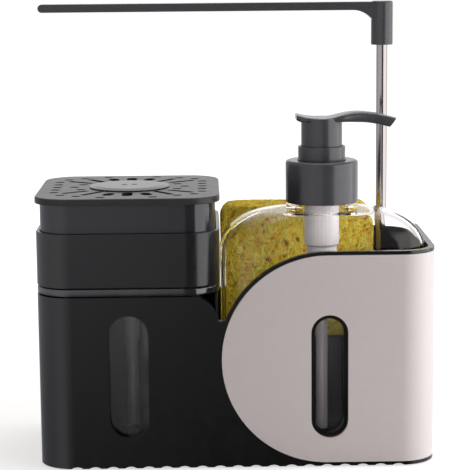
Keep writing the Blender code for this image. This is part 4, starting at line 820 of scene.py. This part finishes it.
def upright_stadium(x, foot, width, height):
    return stadium((x, foot + width / 2), (x, foot + height - width / 2), width, QUARTER_STEPS // 2)


def panel_window(border):
    width, height = PANEL_WINDOW_WIDTH - 2 * border, PANEL_WINDOW_HEIGHT - 2 * border
    return upright_stadium(PANEL_WINDOW_X, PANEL_WINDOW_FOOT_Z + border, width, height)


def scallops(length, centre):
    """Outlines of the notches along one lower edge."""
    radius = ((SCALLOP_WIDTH / 2) ** 2 + SCALLOP_RISE**2) / (2 * SCALLOP_RISE)
    half_turn = math.degrees(math.asin(SCALLOP_WIDTH / 2 / radius))
    top = CADDY.low.z + SCALLOP_RISE
    count = int((length - 2 * CORNER_R) / SCALLOP_PITCH) + 1
    outlines = []
    for index in range(count):
        across = centre + (index - (count - 1) / 2) * SCALLOP_PITCH
        notch = arc((across, top - radius), radius, 90 + half_turn, 90 - half_turn, SMALL_QUARTER_STEPS)
        notch += [(notch[-1][0], CADDY.low.z - OVERRUN), (notch[0][0], CADDY.low.z - OVERRUN)]
        outlines.append(notch)
    return outlines


def slot_row(count, length, width):
    """Outlines of a row of slots across the sponge's place."""
    pitch = 2 * RACK.half.x / count
    half = (length - width) / 2
    rows = [RACK.low.x + pitch * (index + 0.5) for index in range(count)]
    return [stadium((x, RACK.middle.y - half), (x, RACK.middle.y + half), width) for x in rows]


def caddy_moulding():
    """The black tub with two bays, a sponge slot and two view windows."""
    over_top = CADDY.high.z + OVERRUN
    low_y = CADDY.low.y - OVERRUN
    front = CADDY.low.y + THICK_WALL
    wall_over = CROSS_WALL_TOP_Z + OVERRUN
    bay = centred_rect(TANK_CENTRE, TANK_BAY_HALF, TANK_BAY_HALF, TANK_BAY_CORNER_R)
    corners = (INNER_CORNER_R, INNER_CORNER_R, INNER_CORNER_R, CORNER_R - THICK_WALL)
    upper = rounded_rect((DIVIDER_RIGHT_X, front), (BAY_RIGHT_X, SLOT_BACK_Y), corners)
    lower = rounded_rect((DIVIDER_RIGHT_X, front), (BAY_RIGHT_X, CROSS_WALL_Y), corners)
    slot = rounded_rect((DIVIDER_RIGHT_X, SLOT_FRONT_Y), (BAY_RIGHT_X, SLOT_BACK_Y), INNER_CORNER_R)
    divider_end = (DIVIDER_RIGHT_X, CADDY.high.y - WALL / 2)
    divider = rounded_rect((DIVIDER_LEFT_X, CADDY.low.y + WALL / 2), divider_end, FIT, 1)
    window = upright_stadium(TANK_X, WINDOW_FOOT_Z, WINDOW_WIDTH, WINDOW_HEIGHT)
    body = slab("caddy_moulding", [caddy_plan(0)], CADDY.low.z, over_top)
    for change, name, outline, low, high, axis in (
        (keep, "front_view", caddy_front_view(), low_y, CADDY.high.y + OVERRUN, "Y"),
        (cut, "hollow", caddy_plan(THICK_WALL), CADDY.low.z - OVERRUN, FLOOR_UNDER_Z, "Z"),
        (cut, "tank_bay", bay, FLOOR_TOP_Z, over_top, "Z"),
        (cut, "upper_bay", upper, CROSS_WALL_TOP_Z, over_top, "Z"),
        (cut, "bottle_bay", lower, FLOOR_TOP_Z, wall_over, "Z"),
        (cut, "sponge_slot", slot, FLOOR_TOP_Z, wall_over, "Z"),
        (join, "divider", divider, FLOOR_UNDER_Z + FIT, LOW_RIM_Z, "Z"),
        (join, "lip", panel_window(WINDOW_BORDER - WINDOW_LIP_WALL), front - FIT, WINDOW_LIP_Y, "Y"),
        (cut, "opening", panel_window(WINDOW_BORDER), low_y, WINDOW_LIP_Y + OVERRUN, "Y"),
        (cut, "window", window, low_y, front + OVERRUN, "Y"),
    ):
        body = change(body, slab(name, [outline], low, high, axis))
    depth = PANEL_THICKNESS + FIT
    recess = slab("recess", [caddy_plan(-OVERRUN), caddy_plan(depth)], PANEL.low.z - 2 * FIT, over_top)
    wrap = CADDY.low.y + PANEL_WRAP + FIT
    recess = keep(recess, slab("recess_shape", [panel_outline(FIT)], low_y - OVERRUN, wrap, "Y"))
    body = cut(body, recess)
    reach = THICK_WALL + OVERRUN
    for axis, row, edges in (
        ("Y", scallops(2 * CADDY.half.x, CADDY.middle.x), (CADDY.low.y, CADDY.high.y)),
        ("X", scallops(2 * CADDY.half.y, CADDY.middle.y), (CADDY.low.x, CADDY.high.x)),
    ):
        for edge in edges:
            body = cut(body, slab("row", row, edge - reach, edge + reach, axis))
    body = join(body, drum("socket", SOCKET_R, FLOOR_UNDER_Z + FIT, SOCKET_TOP_Z, ROD_CENTRE))
    body = cut(body, drum("bore", ROD.half.x + FIT, FLOOR_TOP_Z, over_top, ROD_CENTRE))
    drains = slot_row(DRAINS, DRAIN_LENGTH, DRAIN_WIDTH)
    body = cut(body, slab("drains", drains, FLOOR_UNDER_Z - OVERRUN, FLOOR_TOP_Z + OVERRUN))
    return soften(body, CADDY_EDGE_R)


def d_panel():
    """Off-white shell that wraps round the front right corner."""
    low_y = CADDY.low.y - OVERRUN
    shell = [caddy_plan(0), caddy_plan(PANEL_THICKNESS)]
    panel = slab("d_panel", shell, PANEL.low.z - OVERRUN, CADDY.high.z)
    panel = keep(panel, slab("shape", [panel_outline(0)], low_y, CADDY.low.y + PANEL_WRAP, "Y"))
    window = slab("window", [panel_window(0)], low_y, CADDY.low.y + PANEL_THICKNESS + OVERRUN, "Y")
    return soften(cut(panel, window), PANEL_EDGE_R, segments=3)


def rack_bench():
    """Slotted bench under the sponge."""
    under = RACK.high.z - RACK_THICKNESS
    left, right = RACK.low.x, RACK.high.x
    inner_left, inner_right = left + RACK_THICKNESS, right - RACK_THICKNESS
    outline = [(left, RACK.low.z), (inner_left, RACK.low.z), (inner_left, under), (inner_right, under)]
    outline += [(inner_right, RACK.low.z), (right, RACK.low.z), (right, RACK.high.z), (left, RACK.high.z)]
    rack = slab("rack_bench", [outline], RACK.low.y, RACK.high.y, "Y")
    slots = slot_row(RACK_SLOTS, RACK_SLOT_LENGTH, RACK_SLOT_WIDTH)
    return soften(cut(rack, slab("slots", slots, under - OVERRUN, RACK.high.z + OVERRUN)), RACK_EDGE_R)


def step_between(low, high, value):
    """Smooth 0 to 1 between two values."""
    share = min(max((value - low) / (high - low), 0), 1)
    return share * share * (3 - 2 * share)


def pore_depths(point):
    """How deep a point lies in a wide and in a fine pore: 0 on the net between pores, 1 well inside one."""
    along = Matrix.Rotation(PORE_LEAN, 3, "Y") @ point
    bend = noise.noise_vector(point / SPONGE_BEND_PITCH) * PORE_BEND
    coarse = Vector((along.x / PORE_LENGTH, along.y / PORE_WIDTH, along.z / PORE_WIDTH)) + bend
    near = noise.voronoi(coarse)[0]
    wide = step_between(*PORE_EDGE, near[1] - near[0])
    near = noise.voronoi(point / FINE_PORE + bend)[0]
    return wide, step_between(*FINE_EDGE, near[1] - near[0])


def sponge_block():
    """Rounded block of cellulose, pitted all over, which keeps the painted shade of its pores for its
    colour.
    """
    noise.seed_set(PORE_SEED)
    half_x, half_z = SPONGE.half.x - SPONGE_SWELL, SPONGE.half.z - SPONGE_SWELL
    outline = centred_rect((SPONGE.middle.x, SPONGE.middle.z), half_x, half_z, SPONGE_CORNER_R)
    front, back = SPONGE.low.y + SPONGE_SWELL, SPONGE.high.y - SPONGE_SWELL
    block = soften(slab("sponge_block", [outline], front, back, "Y"), SPONGE_EDGE_R, segments=4)
    grid = block.modifiers.new("grid", "REMESH")
    grid.mode = "VOXEL"
    grid.voxel_size = SPONGE_GRID
    block = settled(block)
    mesh = block.data
    normals = [vertex.normal.copy() for vertex in mesh.vertices]
    pit_shade_layer = mesh.attributes.new("painted_pit_shade", "FLOAT", "POINT")
    for vertex, normal in zip(mesh.vertices, normals):
        wide, small = pore_depths(vertex.co)
        swell = noise.noise(vertex.co / SPONGE_SWELL_PITCH)
        vertex.co += normal * (SPONGE_SWELL * swell - PORE_DEPTH * wide - FINE_DEPTH * small)
        # Painted shade: the colour will darken as deep as the point lies in a pore
        pit_shade_layer.data[vertex.index].value = PORE_PAINTED_SHADE * wide + FINE_PAINTED_SHADE * small
    return block


def rod_bar():
    return drum("rod_bar", ROD.half.x, ROD.low.z, ROD.high.z, ROD_CENTRE, FIT, FIT)


def arm_bar():
    """Arm with a curved gusset down into its boss."""
    bottom = ARM.high.z - ARM_STEP - ARM_HEIGHT
    half = ARM_HEIGHT / 2
    outline = arc((ARM.low.x + half, bottom + half), half, 90, 270)
    radius = (GUSSET_RUN**2 + GUSSET_DROP**2) / (2 * GUSSET_DROP)
    sweep = math.degrees(math.asin(GUSSET_RUN / radius))
    outline += arc((ROD_X - BOSS_R - GUSSET_RUN, bottom - radius), radius, 90, 90 - sweep)
    outline += [(ROD_X, bottom - GUSSET_DROP), (ROD_X, bottom + ARM_HEIGHT)]
    arm = slab("arm_bar", [outline], ROD_Y - ARM_DEPTH / 2, ROD_Y + ARM_DEPTH / 2, "Y")
    arm = soften(arm, ARM_EDGE_R, segments=3)
    arm = join(arm, drum("boss", BOSS_R, ARM.low.z, ARM.high.z, ROD_CENTRE, BOSS_EDGE_R, FIT))
    roof = ARM.high.z - BOSS_ROOF
    bore_r = ROD.half.x + FIT
    wide_r = bore_r + BUSH_WALL + FIT
    step_z = ARM.low.z + BUSH_LENGTH + FIT
    bore = [
        (0, roof, 0),
        (bore_r, roof, 0),
        (bore_r, step_z, 0),
        (wide_r, step_z, 0),
        (wide_r, ARM.low.z - OVERRUN, 0),
        (0, ARM.low.z - OVERRUN, 0),
    ]
    return cut(arm, turned("bore", bore, ROD_CENTRE))


def tank_body():
    """Clear tank with a flange all round its mouth."""
    outset = TANK_SIDE_HALF - TANK.half.x
    flange_foot = TANK.high.z - FLANGE_HEIGHT
    floor = TANK.low.z + TANK_FLOOR
    seat = TANK_WALL - SEAT_WIDTH
    profile = [
        (TANK_EDGE_R, TANK.low.z, 0),
        (0, TANK.low.z, TANK_EDGE_R),
        (0, flange_foot, FIT),
        (outset, flange_foot, FLANGE_EDGE_R),
        (outset, TANK.high.z, FLANGE_EDGE_R),
        (seat, TANK.high.z, FIT),
        (seat, TANK.high.z - SEAT_DEPTH, FIT),
        (TANK_WALL, TANK.high.z - SEAT_DEPTH, FIT),
        (TANK_WALL, floor, TANK_EDGE_R),
        (TANK_WALL + TANK_EDGE_R, floor, 0),
    ]
    return square_moulding("tank_body", TANK_SIDE_HALF, TANK_CORNER_R, profile)


def collar_moulding():
    """Black collar and deck that close the tank."""
    bore = COLLAR.half.x - SKIRT.half.x - SLIDE_FIT
    plug = COLLAR.half.x - PLUG_HALF
    profile = [
        (plug + PLUG_WALL, COLLAR_FOOT_Z, 0),
        (plug + PLUG_WALL, COLLAR.low.z, FIT),
        (plug, COLLAR.low.z, FIT),
        (plug, COLLAR_FOOT_Z, 0),
        (0, COLLAR_FOOT_Z, COLLAR_EDGE_R),
        (0, COLLAR.high.z, COLLAR_EDGE_R),
        (bore, COLLAR.high.z, FIT),
        (bore, DECK_TOP_Z, 0),
    ]
    collar = square_moulding("collar_moulding", COLLAR.half.x, COLLAR_CORNER_R, profile)
    hole_r = PRESS_CYLINDER_R + FIT
    return cut(collar, drum("hole", hole_r, COLLAR.low.z - OVERRUN, DECK_TOP_Z + OVERRUN, TANK_CENTRE))


def skirt_sleeve():
    """Glossy sleeve that slides in the collar, with an inward web."""
    web_foot = SKIRT.high.z - SKIRT_WEB_THICKNESS
    profile = [
        (0, SKIRT.low.z, FIT),
        (0, SKIRT.high.z, FIT),
        (SKIRT_WEB, SKIRT.high.z, FIT),
        (SKIRT_WEB, web_foot, FIT),
        (SKIRT_WALL, web_foot, FIT),
        (SKIRT_WALL, SKIRT.low.z, FIT),
    ]
    return square_moulding("skirt_sleeve", SKIRT.half.x, SKIRT_CORNER_R, profile, ring=True)


def mirrored_slots(start, end, width):
    """A slot of one quarter of the plate and its mirror images."""
    outlines = {}
    for side_x in (1, -1):
        for side_y in (1, -1):
            ends = [(TANK_X + side_x * x, TANK_Y + side_y * y) for x, y in (start, end)]
            key = frozenset((round(x / FIT), round(y / FIT)) for x, y in ends)
            outlines.setdefault(key, stadium(ends[0], ends[1], width))
    return list(outlines.values())


def plate_holes():
    """Sunburst of drain holes, side columns of dashes and the middle hole."""
    half = PLATE.half.x
    outlines = [arc(TANK_CENTRE, SPIGOT_R + FIT, 0, 360, 2 * QUARTER_STEPS)[:-1]]
    for angle_share, inner_share, outer_share, wide in SPOKE_SHARES:
        turn = math.pi / 2 * angle_share
        width = WIDE_HOLE_WIDTH if wide else HOLE_WIDTH
        reaches = (inner_share * half + width / 2, outer_share * half - width / 2)
        start, end = [(reach * math.cos(turn), reach * math.sin(turn)) for reach in reaches]
        outlines += mirrored_slots(start, end, width)
    straight = (DASH_LENGTH - HOLE_WIDTH) / 2
    for x_share, y_share in DASH_SHARES:
        x = x_share * half
        y = y_share * half
        outlines += mirrored_slots((x - straight, y), (x + straight, y), HOLE_WIDTH)
    return outlines


def plate_grille():
    """Square plate with a rounded edge, a turned-down rim and its drain holes."""
    under = PLATE.high.z - PLATE_THICKNESS
    profile = [
        (PLATE_CORNER_R / 2, PLATE.high.z, 0),
        (0, PLATE.high.z, PLATE_EDGE_R),
        (0, PLATE.low.z, PLATE_EDGE_R / 2),
        (PLATE_RIM_WALL, PLATE.low.z, FIT),
        (PLATE_RIM_WALL, under, 0),
    ]
    plate = square_moulding("plate_grille", PLATE.half.x, PLATE_CORNER_R, profile)
    holes = slab("holes", plate_holes(), under - OVERRUN, PLATE.high.z + OVERRUN)
    return soften(cut(plate, holes), HOLE_EDGE_R)


def disc_cap():
    """Raised disc with two outlet slots, over its spigot."""
    foot = PLATE.high.z + FIT
    profile = [
        (0, DISC.high.z, 0),
        (DISC.half.x - DISC_SLOPE, DISC.high.z, DISC_DOME_R / 2),
        (DISC.half.x, foot + DISC_HEIGHT / 3, FIT / 2),
        (DISC.half.x, foot, 0),
        (SPIGOT_R, foot, 0),
        (SPIGOT_R, DISC.low.z, FIT),
        (STEM_SOCKET_R, DISC.low.z, FIT),
        (STEM_SOCKET_R, PLATE.high.z, 0),
        (0, PLATE.high.z, 0),
    ]
    disc = turned("disc_cap", profile, TANK_CENTRE)
    slots = []
    for side in (-1, 1):
        near = TANK_X + side * (OUTLET_WEB + OUTLET_WIDTH) / 2
        far = near + side * (OUTLET_LENGTH - OUTLET_WIDTH)
        slots.append(stadium((near, TANK_Y), (far, TANK_Y), OUTLET_WIDTH))
    return cut(disc, slab("outlets", slots, PLATE.high.z - OVERRUN, DISC.high.z + OVERRUN))


def bottle_loop(half_x, half_y, corner, z):
    return lifted(centred_rect(BOTTLE.middle, half_x, half_y, corner), z)


def neck_loop(radius, z):
    """As many points round a circle as a rounded loop has."""
    count = 4 * (QUARTER_STEPS + 1)
    first = 180 / count
    return lifted(arc(BOTTLE.middle, radius, first, first + 360, count)[:-1], z)


def shoulder_loops(inset):
    """The wall runs up and in to the neck on a quarter of an ellipse."""
    half_x = BOTTLE.half.x - inset
    half_y = BOTTLE.half.y - inset
    corner = BOTTLE_CORNER_R - inset
    rise = SHOULDER_TOP_Z - SHOULDER_FOOT_Z
    loops = []
    for step in range(SHOULDER_STEPS + 1):
        turn = math.pi / 2 * step / SHOULDER_STEPS
        run = 1 - math.cos(turn)
        across, deep = half_x - SHOULDER_RUN_X * run, half_y - SHOULDER_RUN_Y * run
        z = SHOULDER_FOOT_Z - inset + rise * math.sin(turn)
        loops.append(bottle_loop(across, deep, corner - (corner - BEAD_R + inset) * run, z))
    return loops


def wall_loops(inset, foot, edge_r):
    """Loops up the rounded foot of the bottle's outer or inner wall."""
    loops = []
    for across, z in arc((0, foot + edge_r), edge_r, 270, 360, FILLET_STEPS + 2):
        draw = inset + edge_r - across
        loops.append(bottle_loop(BOTTLE.half.x - draw, BOTTLE.half.y - draw, BOTTLE_CORNER_R - draw, z))
    return loops


def blown_bottle():
    """Clear bottle, with its bead and neck."""
    bead_foot = SHOULDER_TOP_Z + FIT
    neck = [
        (BEAD_R, bead_foot, 0),
        (BEAD_R, BEAD_TOP_Z, BEAD_EDGE_R),
        (NECK_R, BEAD_TOP_Z, FIT),
        (NECK_R, BOTTLE.high.z, FIT),
        (NECK_BORE_R, BOTTLE.high.z, FIT),
        (NECK_BORE_R, SHOULDER_TOP_Z - BOTTLE_WALL + FIT, 0),
    ]
    inner_floor = BOTTLE.low.z + BOTTLE_FLOOR
    loops = [
        *wall_loops(0, BOTTLE.low.z, BOTTLE_EDGE_R),
        *shoulder_loops(0),
        *[neck_loop(radius, z) for radius, z in filleted(neck)],
        *reversed(shoulder_loops(BOTTLE_WALL)),
        *reversed(wall_loops(BOTTLE_WALL, inner_floor, BOTTLE_EDGE_R)),
    ]
    return skinned("blown_bottle", loops)


def screw_cap():
    inner_r = CLOSURE.half.x - CLOSURE_WALL
    hole_r = CHAPLET_R + FIT
    profile = [
        (CLOSURE.half.x, CLOSURE.high.z, CLOSURE_EDGE_R),
        (CLOSURE.half.x, CLOSURE.low.z, FIT),
        (inner_r, CLOSURE.low.z, FIT),
        (inner_r, CLOSURE_SHELF_Z, FIT),
        (hole_r, CLOSURE_SHELF_Z, FIT),
        (hole_r, CLOSURE.high.z, FIT),
    ]
    return turned("screw_cap", profile, PUMP_CENTRE, ring=True)


def chaplet_sleeve():
    """Sleeve that guides the head's skirt."""
    flange_top = CHAPLET.low.z + CHAPLET_FLANGE
    flare_foot = CLOSURE.high.z + FIT
    flare_r = CHAPLET_R + CHAPLET_FLARE
    floor = CHAPLET.low.z + CHAPLET_FLOOR
    profile = [
        (CHAPLET_R, CHAPLET.high.z, FIT),
        (CHAPLET_R, flare_foot + CHAPLET_FLARE, 0),
        (flare_r, flare_foot + CHAPLET_FLARE / 2, 0),
        (flare_r, flare_foot, 0),
        (CHAPLET_R, flare_foot, 0),
        (CHAPLET_R, flange_top, 0),
        (CHAPLET.half.x, flange_top, FIT),
        (CHAPLET.half.x, CHAPLET.low.z, FIT),
        (STEM_HOLE_R, CHAPLET.low.z, 0),
        (STEM_HOLE_R, floor, 0),
        (CHAPLET_BORE_R, floor, 0),
        (CHAPLET_BORE_R, CHAPLET.high.z, FIT),
    ]
    return turned("chaplet_sleeve", profile, PUMP_CENTRE, ring=True)


def spout_shares(share):
    """The table of spout sections, read smoothly between its rows."""
    last = len(SPOUT_SHARES) - 1
    row = 0
    while row < last - 1 and SPOUT_SHARES[row + 1][0] < share:
        row += 1
    rows = [SPOUT_SHARES[min(max(row + step, 0), last)] for step in (-1, 0, 1, 2)]
    start, end = rows[1][0], rows[2][0]
    t = (share - start) / (end - start)
    values = []
    for column in (1, 2, 3):
        before, here, after, beyond = [r[column] for r in rows]
        lean_here = (after - before) / max(rows[2][0] - rows[0][0], FIT) * (end - start)
        lean_after = (beyond - here) / max(rows[3][0] - rows[1][0], FIT) * (end - start)
        values.append(
            (2 * t**3 - 3 * t**2 + 1) * here
            + (t**3 - 2 * t**2 + t) * lean_here
            + (3 * t**2 - 2 * t**3) * after
            + (t**3 - t**2) * lean_after
        )
    return values


def spout_section(share):
    """One upright section of the spout. The last ones lean, so that the tip is cut on a slant."""
    length = 2 * HEAD.half.x
    drop_share, thick_share, width_share = spout_shares(share)
    x = HEAD.low.x + share * length
    top = HEAD.high.z - drop_share * SPOUT_THICKNESS
    thickness = thick_share * SPOUT_THICKNESS
    half_width = width_share * SPOUT_HALF_WIDTH
    radius = min(thickness, half_width) * SPOUT_ROUNDING
    low = (PUMP_Y - half_width, top - thickness)
    outline = rounded_rect(low, (PUMP_Y + half_width, top), radius, SMALL_QUARTER_STEPS)
    reach = max(share - SPOUT_SLANT_START, 0) / (1 - SPOUT_SLANT_START)
    lean = SPOUT_TIP_SLANT_SHARE * length * reach
    return [(x - lean * (top - z) / thickness, y, z) for y, z in outline]


def saddle_spout():
    """Thumb saddle and curved spout."""
    sections = [spout_section(step / SPOUT_SECTIONS) for step in range(SPOUT_SECTIONS + 1)]
    return skinned("saddle_spout", sections)


def saddle_skirt():
    """Sleeve under the saddle, with the hub that takes the stem."""
    inner_r = HEAD_SKIRT_R - HEAD_SKIRT_WALL
    profile = [
        (0, HEAD_JOIN_Z, 0),
        (HEAD_SKIRT_R, HEAD_JOIN_Z, 0),
        (HEAD_SKIRT_R, HEAD.low.z, FIT),
        (inner_r, HEAD.low.z, FIT),
        (inner_r, HEAD_ROOF_Z, 0),
        (HUB_R, HEAD_ROOF_Z, 0),
        (HUB_R, HUB_FOOT_Z, FIT),
        (STEM_R, HUB_FOOT_Z, FIT),
        (STEM_R, SOCKET_ROOF_Z, 0),
        (0, SOCKET_ROOF_Z, 0),
    ]
    return turned("saddle_skirt", profile, PUMP_CENTRE)


def foot_pads(material):
    for corner in ("front_left", "front_right", "back_left", "back_right"):
        low, high, middle, half = place(f"foot_{corner}")
        pad = drum(f"foot_pad_{corner}", half.x, low.z, high.z, middle, FIT, FOOT_EDGE_R)
        dress(pad, material, "root", "rubber", f"foot_{corner}")


def dress_inner_nodes(finishes):
    """The pieces that keep their solids take their finish from their slot."""
    for part in frame["record"]["subparts"]:
        node = frame["nodes"][part["node"]]
        node.data.materials.clear()
        node.data.materials.append(finishes[part["material_slot"]])
        node.data.shade_smooth()
        node.data.set_sharp_from_angle(angle=SMOOTH_ANGLE)


def make_pieces():
    finishes = make_finishes()
    dress_inner_nodes(finishes)
    black = finishes["black_plastic"]
    charcoal = finishes["charcoal"]
    dress(caddy_moulding(), black, "root", "black_plastic", "caddy_body")
    dress(d_panel(), finishes["white_plastic"], "root", "white_plastic", "cover_panel")
    dress(rack_bench(), black, "root", "black_plastic", "sponge_rack")
    dress(rod_bar(), finishes["steel"], "root", "steel", "towel_rod")
    dress(arm_bar(), charcoal, "arm", "black_plastic", "towel_arm")
    foot_pads(finishes["rubber"])
    sponge = dress(sponge_block(), finishes["sponge"], "sponge", "sponge", "sponge")
    tank = dress(tank_body(), finishes["tank"], "tank", "clear_plastic", "soap_tank")
    tank.data.materials.append(finishes["flange"])
    for face in tank.data.polygons:
        face.material_index = face.center.z > TANK.high.z - FLANGE_HEIGHT
    tank.visible_shadow = False
    dress(collar_moulding(), finishes["collar"], "lid", "black_plastic", "tank_collar")
    gloss = finishes["gloss_black_plastic"]
    dress(skirt_sleeve(), gloss, "press", "gloss_black_plastic", "press_skirt")
    dress(plate_grille(), finishes["plate"], "press", "black_plastic", "press_plate")
    dress(disc_cap(), finishes["disc"], "press", "black_plastic", "outlet_disc")
    bottle = dress(blown_bottle(), finishes["clear_plastic"], "bottle", "clear_plastic", "lotion_bottle")
    bottle.visible_shadow = False
    dress(screw_cap(), charcoal, "pump", "black_plastic", "bottle_closure")
    dress(chaplet_sleeve(), charcoal, "pump", "black_plastic", "pump_chaplet")
    dress(saddle_spout(), charcoal, "head", "black_plastic", "pump_head")
    dress(saddle_skirt(), charcoal, "head", "black_plastic")


def make_camera():
    data = bpy.data.cameras.new("camera")
    data.lens = LENS_MM
    data.sensor_width = SENSOR_MM
    camera = new_object("camera", data)
    turn = Euler((math.radians(90 - CAMERA_PITCH), 0, math.radians(CAMERA_YAW)))
    roll = Matrix.Rotation(math.radians(CAMERA_ROLL), 4, "Z")
    camera.matrix_world = Matrix.Translation(CAMERA_PLACE) @ turn.to_matrix().to_4x4() @ roll
    bpy.context.scene.camera = camera


def make_lamps():
    """Soft boxes that face the object."""
    for name, where, width, height, power in SOFT_BOXES:
        data = bpy.data.lights.new(name, "AREA")
        data.shape = "RECTANGLE"
        data.size = width
        data.size_y = height
        data.energy = power
        lamp = new_object(name, data)
        lamp.location = where
        lamp.rotation_euler = (Vector((0, 0, AIM_Z)) - Vector(where)).to_track_quat("-Z", "Y").to_euler()


def in_view(tree):
    """1 on the camera's rays, also behind glass, and 0 on all others."""
    path = add(tree, "ShaderNodeLightPath", {})
    return calc(tree, "MAXIMUM", path.outputs["Is Camera Ray"], path.outputs["Is Transmission Ray"])


def blend(tree, share, first, second):
    """Mixes two colours."""
    return add(tree, "ShaderNodeMix", {"data_type": "RGBA", 0: share, 6: first, 7: second}).outputs[2]


def make_world():
    """White for the camera and behind glass, a graded studio for gloss, and a plain level for the rest."""
    world = bpy.data.worlds.new("studio")
    bpy.context.scene.world = world
    world.use_nodes = True
    tree = world.node_tree
    where = add(tree, "ShaderNodeTexCoord", {}).outputs["Generated"]
    parts = add(tree, "ShaderNodeSeparateXYZ", {"Vector": where}).outputs
    bearing = calc(tree, "ARCTAN2", parts["X"], calc(tree, "MULTIPLY", parts["Y"], -1.0))
    share = mapped(tree, bearing, (-math.pi, math.pi))
    low, high = [
        ramp(tree, share, [(0.5 + degrees / 360, tone) for degrees, tone in tones])
        for tones in (MIRRORED_LOW_TONES, MIRRORED_HIGH_TONES)
    ]
    mirrored = blend(tree, mapped(tree, parts["Z"], MIRRORED_HEIGHTS), low, high)
    gloss = add(tree, "ShaderNodeLightPath", {}).outputs["Is Glossy Ray"]
    unseen = blend(tree, gloss, srgb(AMBIENT), mirrored)
    colour = blend(tree, in_view(tree), unseen, srgb(WHITE))
    feed(tree, tree.nodes["Background"], {"Color": colour})


def make_floor():
    """Plain pale floor that glows a little in view, so that it is white and keeps the shadow."""
    corners = [(x * FLOOR_HALF, y * FLOOR_HALF, 0) for x, y in ((-1, -1), (1, -1), (1, 1), (-1, 1))]
    mesh = bpy.data.meshes.new("floor")
    mesh.from_pydata(corners, [], [(0, 1, 2, 3)])
    floor = new_object("floor", mesh)
    material, tree, shader, where = new_material("matt white paper")
    away = add(tree, "ShaderNodeVectorMath", {"operation": "LENGTH", 0: where}).outputs["Value"]
    glow = mapped(tree, away, FLOOR_GLOW_REACH, FLOOR_GLOW)
    values = {
        "Base Color": srgb(FLOOR_TONE),
        "Roughness": 1.0,
        "Specular IOR Level": 0.0,
        "Emission Color": srgb(WHITE),
        "Emission Strength": calc(tree, "MULTIPLY", in_view(tree), glow),
    }
    feed(tree, shader, values)
    mesh.materials.append(material)
    floor.visible_glossy = False
    floor.visible_shadow = False


make_pieces()
make_floor()
make_world()
make_lamps()
make_camera()
bpy.context.scene.view_settings.view_transform = "Standard"
